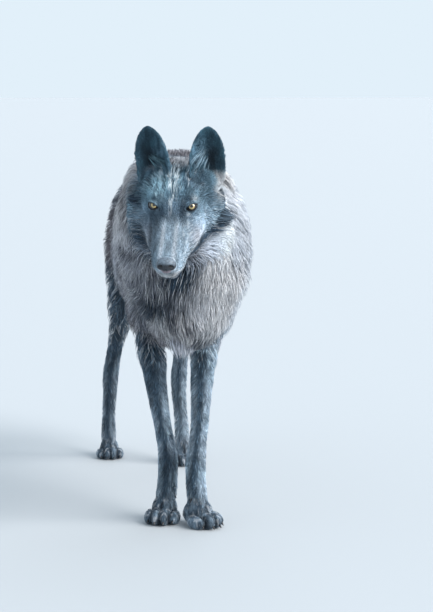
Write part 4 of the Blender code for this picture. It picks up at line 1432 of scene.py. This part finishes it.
# Thinner over the back half of the body, and none on the lids, the nose pad and the soles.
density *= 1 - 0.45 * ramp(corners[:, 0, 1], -0.15, 0.10) * long_hair
for _, sign in SIDES:
    outside, radius = lid_distance(to_head(middles), sign)
    density *= np.where(radius < 2 * EYE_RADIUS, ramp(outside, 0.0018, 0.0034), 1)
from_nose = np.linalg.norm((to_head(middles) - [0, -0.141, -0.031]) / [0.021, 0.016, 0.019], axis=1)
density *= ramp(from_nose, 1.0, 1.1)
density *= ramp(middles[:, 2], 0.0015, 0.004)
triangles_in = 6 * np.where(long_hair, LONG, SHORT) - 2         # of one lock that grows on each face
wanted = area * density
wanted *= TRIANGLES_WANTED / np.sum(wanted * triangles_in)
for i, name in enumerate(REGIONS):
    report(f"  {name}: {np.sum(wanted * face_region[:, i]):.0f} locks")


# %% [markdown]
# ## Roots
# Locks are spread by the area of the skin and by how densely each region is covered. Random places alone
# would leave bald gaps. So the covered area is cut into as many equal shares as there are locks, and each
# share gets one root at a random place in it.

# %% Roots
# A root's place in its triangle is drawn as two shares of its sides; a pair outside is folded back in.
total = np.cumsum(wanted)
count = int(total[-1])
face = np.searchsorted(total, (np.arange(count) + RANDOM.random(count)) / count * total[-1])
face = np.minimum(face, len(wanted) - 1)
a, b = RANDOM.random((2, count))
a, b = np.where(a + b > 1, 1 - a, a), np.where(a + b > 1, 1 - b, b)
tri = corners[face]
roots = tri[:, 0] + a[:, None] * (tri[:, 1] - tri[:, 0]) + b[:, None] * (tri[:, 2] - tri[:, 0])
report(count, "locks")


# %% [markdown]
# ## One lock
# A flat card with hairs painted on it would be the lightest lock, but it isn't a solid, and it shows its
# edge. A spike with three sides costs little more. Long hair bends more than short hair, so a long lock has
# three lengths and a short one two. Its colour comes from the markings at its root, and is painted darker
# inside the coat as painted shade. Some whole locks are silver or black, as single guard hairs are.

# %% Paths along the skin
def turned(vectors, axes, angles):
    """The vectors turned about their axes, which are square to them, by the angles."""
    return vectors * np.cos(angles)[:, None] + np.cross(axes, vectors) * np.sin(angles)[:, None]


def paths_over_skin(roots, face, reach, steps, swing):
    """Points along the skin from each root in the lie of the coat, and the skin's faces under them."""
    spots, under = [roots], [face]
    for _ in range(steps):
        axis = face_out[under[-1]]
        way = face_lie[under[-1]]
        way = turned(unit(way - axis * np.sum(way * axis, axis=1, keepdims=True)), axis, swing)
        goal = spots[-1] + way * (reach / steps)[:, None]
        found = [SKIN_TREE.find_nearest(point) for point in goal.tolist()]
        spots.append(np.array([tuple(f[0]) for f in found]))
        under.append(np.array([f[2] for f in found]))
    return np.stack(spots, axis=1), np.stack(under, axis=1)


# %% Growth
# Along a lock from root to tip: its height as a part of the depth, how far it is drawn to the middle of its
# clump, its width as a part of the whole, and how bright it is, darker near the root as painted shade.
RISE = {LONG: (-0.02, 0.60, 0.94, 1.02), SHORT: (-0.05, 0.82, 1.0)}
DRAW = {LONG: (0.0, 0.12, 0.32, 0.50), SHORT: (0.0, 0.18, 0.36)}
GIRTH = {LONG: (0.75, 1.0, 0.68), SHORT: (0.85, 0.95)}
SHADE = {LONG: (0.45, 0.80, 1.0, 1.10), SHORT: (0.65, 0.92, 1.06)}
CLUMP = 14              # locks in a clump
LEAST_RISE = 0.0012     # metres: no lock comes nearer to the floor
LEG_REGIONS = [REGIONS.index(name) for name in ("foreleg", "hindleg", "paw")]


def grown(chosen, steps):
    """The paths, directions out, girths, colours and roots of the chosen locks."""
    n = len(chosen)
    if not n:
        return (chosen,) * 5
    grows_on = face[chosen]
    where, out = roots[chosen], face_out[grows_on]
    tall, weights = face_height[grows_on], face_region[grows_on]

    # The path: along the skin by the lie, up by the coat's depth, and towards the clump's own leader.
    group = noise(where, 0.022, 8)
    reach = length[grows_on] * RANDOM.uniform(0.72, 1.12, n) * (0.85 + 0.3 * group)
    swing = RANDOM.normal(0, 0.14, n) + 0.55 * (noise(where, 0.050, 9) - 0.5)
    spots, under = paths_over_skin(where, grows_on, reach, steps, swing)
    lift = RANDOM.uniform(0.35, 1.0, n) ** 0.5 * (0.86 + 0.28 * noise(where, 0.03, 10))
    local_height = 0.5 * face_height[under] + 0.5 * tall[:, None]
    path = spots + face_out[under] * (local_height * np.array(RISE[steps]) * lift[:, None])[:, :, None]
    leaders = RANDOM.permutation(n)[:max(n // CLUMP, 1)]
    tree = KDTree(len(leaders))
    for i, k in enumerate(leaders):
        tree.insert(where[k], i)
    tree.balance()
    own = leaders[np.array([tree.find(point)[1] for point in where.tolist()])]
    apart = np.linalg.norm(where - where[own], axis=1)
    tight = RANDOM.uniform(0.5, 1.1, n) * (apart < 0.6 * reach)
    path += (path[own] - path) * (np.array(DRAW[steps]) * tight[:, None])[:, :, None]
    path[:, :, 2] = np.maximum(path[:, :, 2], LEAST_RISE)

    # The colour: the marking, brighter or darker in streaks, with some silver locks and some black ones.
    base = markings(where, out, weights)
    streak = noise(where + 0.15 * RANDOM.normal(0, 0.002, (n, 3)), (0.007, 0.012, 0.030), 11)
    limb = weights[:, LEG_REGIONS].sum(axis=1)
    pale = ramp(base.mean(axis=1), 0.25, 0.65)
    change = (0.9 - 0.5 * pale) * (streak - 0.5) + RANDOM.normal(0, 0.16, n) * (1 + 0.9 * limb - 0.5 * pale)
    base *= np.exp(change)[:, None]
    kind = RANDOM.random(n)
    coarse = ramp(tall, 0.004, 0.02)
    silver = kind < 0.03 + 0.14 * ramp(noise(where, 0.04, 12), 0.3, 0.7)
    base = mix(base, SILVER, 0.6 * coarse * silver)
    black = kind > 0.92 - 0.12 * coarse * (1 - pale)
    base = mix(base, BLACK, (0.35 + 0.30 * coarse) * black * (1 - 0.5 * pale))
    # Painted shade: each lock darkens towards its root, less so where its hair is pale.
    shade = np.array(SHADE[steps])[None, :] ** (1 - 0.75 * pale)[:, None]
    shade[:, -1] *= np.where(RANDOM.random(n) < 0.3 * coarse * (1 - pale), 0.3, 1)
    colours = np.clip(base[:, None, :] * shade[:, :, None], 0, 0.95)
    girth = (width[grows_on] * RANDOM.uniform(0.6, 1.15, n))[:, None] * np.array(GIRTH[steps])
    return path, face_out[under], girth, colours, where


# %% Spikes
# The corners of a lock's section, as parts of its girth: across the lie, and up from the skin.
SECTION = ((-0.5, -0.25), (0.5, -0.25), (0.0, 0.5))
FLATNESS = 0.8


def spikes(path, out, girth, colours, steps):
    """The points, faces and colours of closed three-sided spikes along the paths."""
    n = len(path)
    along = np.empty_like(path[:, :-1])
    along[:, 0] = path[:, 1] - path[:, 0]
    along[:, 1:] = path[:, 2:] - path[:, :-2]
    along = unit(along)
    across = unit(np.cross(along, out[:, :-1]))
    up = np.cross(across, along)
    ring = []
    for c, s in SECTION:
        ring.append(path[:, :-1] + (across * c + up * s * FLATNESS) * girth[:, :, None])
    verts = np.concatenate((np.stack(ring, axis=2).reshape(n, -1, 3), path[:, -1:]), axis=1)
    colour = np.concatenate((np.repeat(colours[:, :-1], 3, axis=1), colours[:, -1:]), axis=1)
    quads = [(3 * r + k, 3 * r + (k + 1) % 3, 3 * r + 3 + (k + 1) % 3, 3 * r + 3 + k)
             for r in range(steps - 1) for k in range(3)]
    tip, last = 3 * steps, 3 * (steps - 1)
    ends = [(2, 1, 0)] + [(last + k, last + (k + 1) % 3, tip) for k in range(3)]
    first = (np.arange(n) * (3 * steps + 1))[:, None, None]
    return (verts.reshape(-1, 3), colour.reshape(-1, 3), (first + np.array(quads)).reshape(-1, 4),
            (first + np.array(ends)).reshape(-1, 3))


# %% [markdown]
# ## Unwrap for the locks
# The export bakes each coat piece's colour through the UV map OFBake. Unwrapping every spike would give
# thousands of slivers. Instead the stretch of skin under the piece is thinned out and unwrapped, and every
# lock becomes one patch, 3 thousandths of the map across, where its root lies on that unwrap.

# %% Unwrap
PATCH = 0.003           # width of a lock's patch on the map, whose own width is 1
THINNED_TO = 0.05       # the share of the skin's faces that are kept for the unwrap
thin = linked("thin_skin", skin.data.copy())
thin.data.materials.clear()
decimate = thin.modifiers.new("thin", "DECIMATE")
decimate.ratio = THINNED_TO
evaluated(thin)
thin_points = points_of(thin.data)


def unwrapped(keep):
    """The part of the thinned skin round the points to keep: its points, faces, tree and UV map."""
    bm = bmesh.new()
    bm.from_mesh(thin.data)
    bmesh.ops.triangulate(bm, faces=bm.faces)
    bm.verts.ensure_lookup_table()
    spare = [f for f in bm.faces if not any(keep[v.index] for v in f.verts)]
    bmesh.ops.delete(bm, geom=spare, context="FACES")
    sheet = from_bmesh("sheet", bm)
    bpy.ops.object.select_all(action="DESELECT")
    bpy.context.view_layer.objects.active = sheet
    sheet.select_set(True)
    bpy.ops.object.mode_set(mode="EDIT")
    bpy.ops.mesh.select_all(action="SELECT")
    bpy.ops.uv.smart_project(angle_limit=math.radians(66), island_margin=0.004)
    bpy.ops.object.mode_set(mode="OBJECT")
    mesh = sheet.data
    uv = np.empty(len(mesh.loops) * 2, np.float32)
    mesh.uv_layers.active.data.foreach_get("uv", uv)
    uv = uv.reshape(-1, 3, 2).astype(float)
    points = points_of(mesh)
    faces = np.array([tuple(p.vertices) for p in mesh.polygons])
    tree = BVHTree.FromPolygons(points.tolist(), faces.tolist())
    bpy.data.objects.remove(sheet)
    return points, faces, tree, uv


def uv_of(where, sheet):
    """The place on the map of each point, by its shares of the corners of the sheet's nearest triangle."""
    points, faces, tree, uv = sheet
    found = [tree.find_nearest(point) for point in where.tolist()]
    spot_on, index = np.array([tuple(f[0]) for f in found]), np.array([f[2] for f in found])
    a, b, c = (points[faces[index, k]] for k in range(3))
    ab, ac, ap = b - a, c - a, spot_on - a
    d00, d01, d11 = (np.sum(p * q, axis=1) for p, q in ((ab, ab), (ab, ac), (ac, ac)))
    d20, d21 = np.sum(ap * ab, axis=1), np.sum(ap * ac, axis=1)
    scale = np.maximum(d00 * d11 - d01 * d01, 1e-18)
    v, w = (d11 * d20 - d01 * d21) / scale, (d00 * d21 - d01 * d20) / scale
    return uv[index, 0] * (1 - v - w)[:, None] + uv[index, 1] * v[:, None] + uv[index, 2] * w[:, None]


# %% [markdown]
# ## The coat in pieces
# One mesh of all the locks would be too heavy to handle. They are joined by region and side, and a region
# with many locks is cut again along the body. Each mesh is filled from arrays, because a loop over every
# face would take minutes.

# %% One piece of coat
NEAR_ROOT = 0.012       # metres: the skin this near to a root is unwrapped for its piece


def coat_piece(name, groups):
    """One joined mesh of locks. Each group has paths, directions out, girths, colours and roots."""
    groups = [group for group in groups if len(group[-1])]
    if not groups:
        return 0
    all_roots = np.concatenate([group[-1] for group in groups])
    tree = KDTree(len(all_roots))
    for i, point in enumerate(all_roots.tolist()):
        tree.insert(point, i)
    tree.balance()
    keep = np.array([tree.find(point)[2] < NEAR_ROOT for point in thin_points.tolist()])
    sheet = unwrapped(keep)
    verts, colours, uvs, loops, sizes = [], [], [], [], []
    offset = 0
    for path, out, girth, colour, root in groups:
        steps = path.shape[1] - 1
        v, c, quads, ends = spikes(path, out, girth, colour, steps)
        level = np.array([r for r in range(steps) for _ in range(3)] + [steps]) / steps - 0.5
        turn = np.array([k for _ in range(steps) for k in (-0.5, 0.0, 0.5)] + [0.0])
        patch = np.stack((turn, level), axis=1) * PATCH
        uvs.append((uv_of(root, sheet)[:, None, :] + patch).reshape(-1, 2))
        verts.append(v)
        colours.append(c)
        loops += [(quads + offset).ravel(), (ends + offset).ravel()]
        sizes += [np.full(len(quads), 4), np.full(len(ends), 3)]
        offset += len(v)
    verts, colours, uvs = (np.concatenate(k) for k in (verts, colours, uvs))
    loops, sizes = np.concatenate(loops), np.concatenate(sizes)
    mesh = bpy.data.meshes.new(name)
    mesh.vertices.add(len(verts))
    mesh.vertices.foreach_set("co", verts.astype(np.float32).ravel())
    mesh.loops.add(len(loops))
    mesh.loops.foreach_set("vertex_index", loops.astype(np.int32))
    mesh.polygons.add(len(sizes))
    starts = np.concatenate(([0], np.cumsum(sizes)[:-1]))
    mesh.polygons.foreach_set("loop_start", starts.astype(np.int32))
    mesh.polygons.foreach_set("loop_total", sizes.astype(np.int32))
    mesh.update(calc_edges=True)
    mesh.uv_layers.new(name="OFBake").data.foreach_set("uv", uvs[loops].astype(np.float32).ravel())
    put_colours(mesh, "coat", colours)
    mesh.shade_smooth()
    mesh.materials.append(fur_look)
    piece = linked(name, mesh)
    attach(piece, "root")
    made = int(np.sum(sizes - 2))
    report(name, len(all_roots), "locks,", made, "triangles")
    return made


# %% All the pieces
region_of_lock = np.argmax(face_region[face], axis=1)
is_long = long_hair[face]
on_left = roots[:, 0] > np.where(region_of_lock == REGIONS.index("head"), float(EYE_MIDDLE.x), -0.01)
MOST_TRIANGLES = 190e3      # in one piece
triangles_made = 0
for i, name in enumerate(REGIONS):
    for side, left in (("left", True), ("right", False)):
        mine = np.where((region_of_lock == i) & (on_left == left))[0]
        mine = mine[np.argsort(roots[mine, 1], kind="stable")]
        parts = math.ceil(np.sum(triangles_in[face[mine]]) / MOST_TRIANGLES)
        for k, chosen in enumerate(np.array_split(mine, max(parts, 1))):
            groups = [grown(chosen[is_long[chosen]], LONG), grown(chosen[~is_long[chosen]], SHORT)]
            triangles_made += coat_piece(f"coat_{name}_{side}_{k + 1}", groups)
report("coat so far:", triangles_made, "triangles")


# %% [markdown]
# ## Tufts that stand out
# A few tufts leave the lie of the coat: a dark point behind each cheek where the mask ends, pale hair in
# and beside the ears, and longer hair that hangs from the chest and behind the elbows. Each is made from
# its own start and end, because the rules for the rest of the coat would comb it flat.

# %% Tufts
def tuft(start, end, count, spread, sag, colour, gather=0.4):
    """Locks from round a start to one end, in world coordinates, as a group for coat_piece. Their tips hang
    down by sag, and stand apart by the share gather of how far their roots do."""
    start, end = np.array(start), np.array(end)
    loose = start + RANDOM.normal(0, spread, (count, 3))
    found = [SKIN_TREE.find_nearest(point) for point in loose.tolist()]
    root = np.array([tuple(f[0]) for f in found])
    out = face_out[np.array([f[2] for f in found])]
    tip = end + gather * (root - start) + RANDOM.normal(0, 0.15 * spread, (count, 3))
    tip = root + (tip - root) * RANDOM.uniform(0.40, 1.05, count)[:, None]
    reach = np.linalg.norm(tip - root, axis=1)[:, None]
    t = np.array([0.0, 1 / 3, 2 / 3, 1.0])[None, :, None]
    path = root[:, None] * (1 - t) + tip[:, None] * t
    path = path + (out * 0.22 * reach)[:, None] * (t * (1 - t) * 2) + np.array([0, 0, -sag]) * (t * t)
    path[:, 0] -= out * 0.001
    girth = np.tile(GIRTH[LONG], (count, 1)) * RANDOM.uniform(0.0010, 0.0020, count)[:, None]
    # Painted shade towards the root, as on the other locks, with a random brightness for each lock.
    shade = np.array(SHADE[LONG]) * np.exp(RANDOM.normal(0, 0.35, count))[:, None]
    colours = np.clip(colour * shade[:, :, None], 0, 0.95)
    return path, np.repeat(out[:, None], 4, axis=1), girth, colours, root


def head_place(x, y, z):
    return from_head(np.array([[x, y, z]]))[0]


def ear_place(name, x, y, z):
    return np.array(ear_frame(name) @ Vector((x, y, z)))


# Each tuft: start, end, count, spread of its roots, sag, colour, and gather where it isn't the usual one.
TUFTS = (
    # the points of the mask behind the cheeks
    (head_place(0.086, 0.030, -0.052), head_place(0.124, 0.080, -0.108),
     110, 0.010, 0.003, 0.35 * NAVY + 0.65 * SLATE, 0.08),
    (head_place(-0.080, 0.034, -0.024), head_place(-0.108, 0.052, -0.034), 110, 0.008, 0.002, NAVY, 0.12),
    # in the ears, and outside the left one
    (ear_place("ear_right", 0.020, 0.018, 0.030), ear_place("ear_right", -0.006, 0.010, 0.050),
     50, 0.008, 0, 0.8 * TEAL),
    (ear_place("ear_left", -0.024, 0.014, 0.022), ear_place("ear_left", -0.002, 0.006, 0.062),
     70, 0.009, 0, 0.4 * STEEL + 0.4 * TEAL),
    (ear_place("ear_left", 0.038, 0.024, 0.000), ear_place("ear_left", 0.066, 0.050, -0.042),
     110, 0.009, 0, 0.8 * WARM),
    # under the chest and behind the elbows
    ((-0.015, -0.335, 0.455), (-0.012, -0.345, 0.395), 240, 0.012, 0.004, LILAC),
    ((0.008, -0.320, 0.450), (0.008, -0.325, 0.395), 160, 0.012, 0.004, LILAC),
    ((-0.100, -0.240, 0.450), (-0.100, -0.225, 0.395), 160, 0.014, 0.004, SLATE),
    ((0.084, -0.250, 0.450), (0.088, -0.235, 0.388), 200, 0.014, 0.004, LILAC),
)
triangles_made += coat_piece("coat_tufts", [tuft(*row) for row in TUFTS])
bpy.data.objects.remove(thin)
report("coat:", triangles_made, "triangles")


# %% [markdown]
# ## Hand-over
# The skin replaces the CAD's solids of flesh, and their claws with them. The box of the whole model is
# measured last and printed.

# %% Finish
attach(skin, "root")
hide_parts(*FLESH, *EARS)
report("skin:", len(skin.data.loop_triangles), "triangles")
low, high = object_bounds()
report("box", [round(1000 * v, 1) for v in low], [round(1000 * v, 1) for v in high])
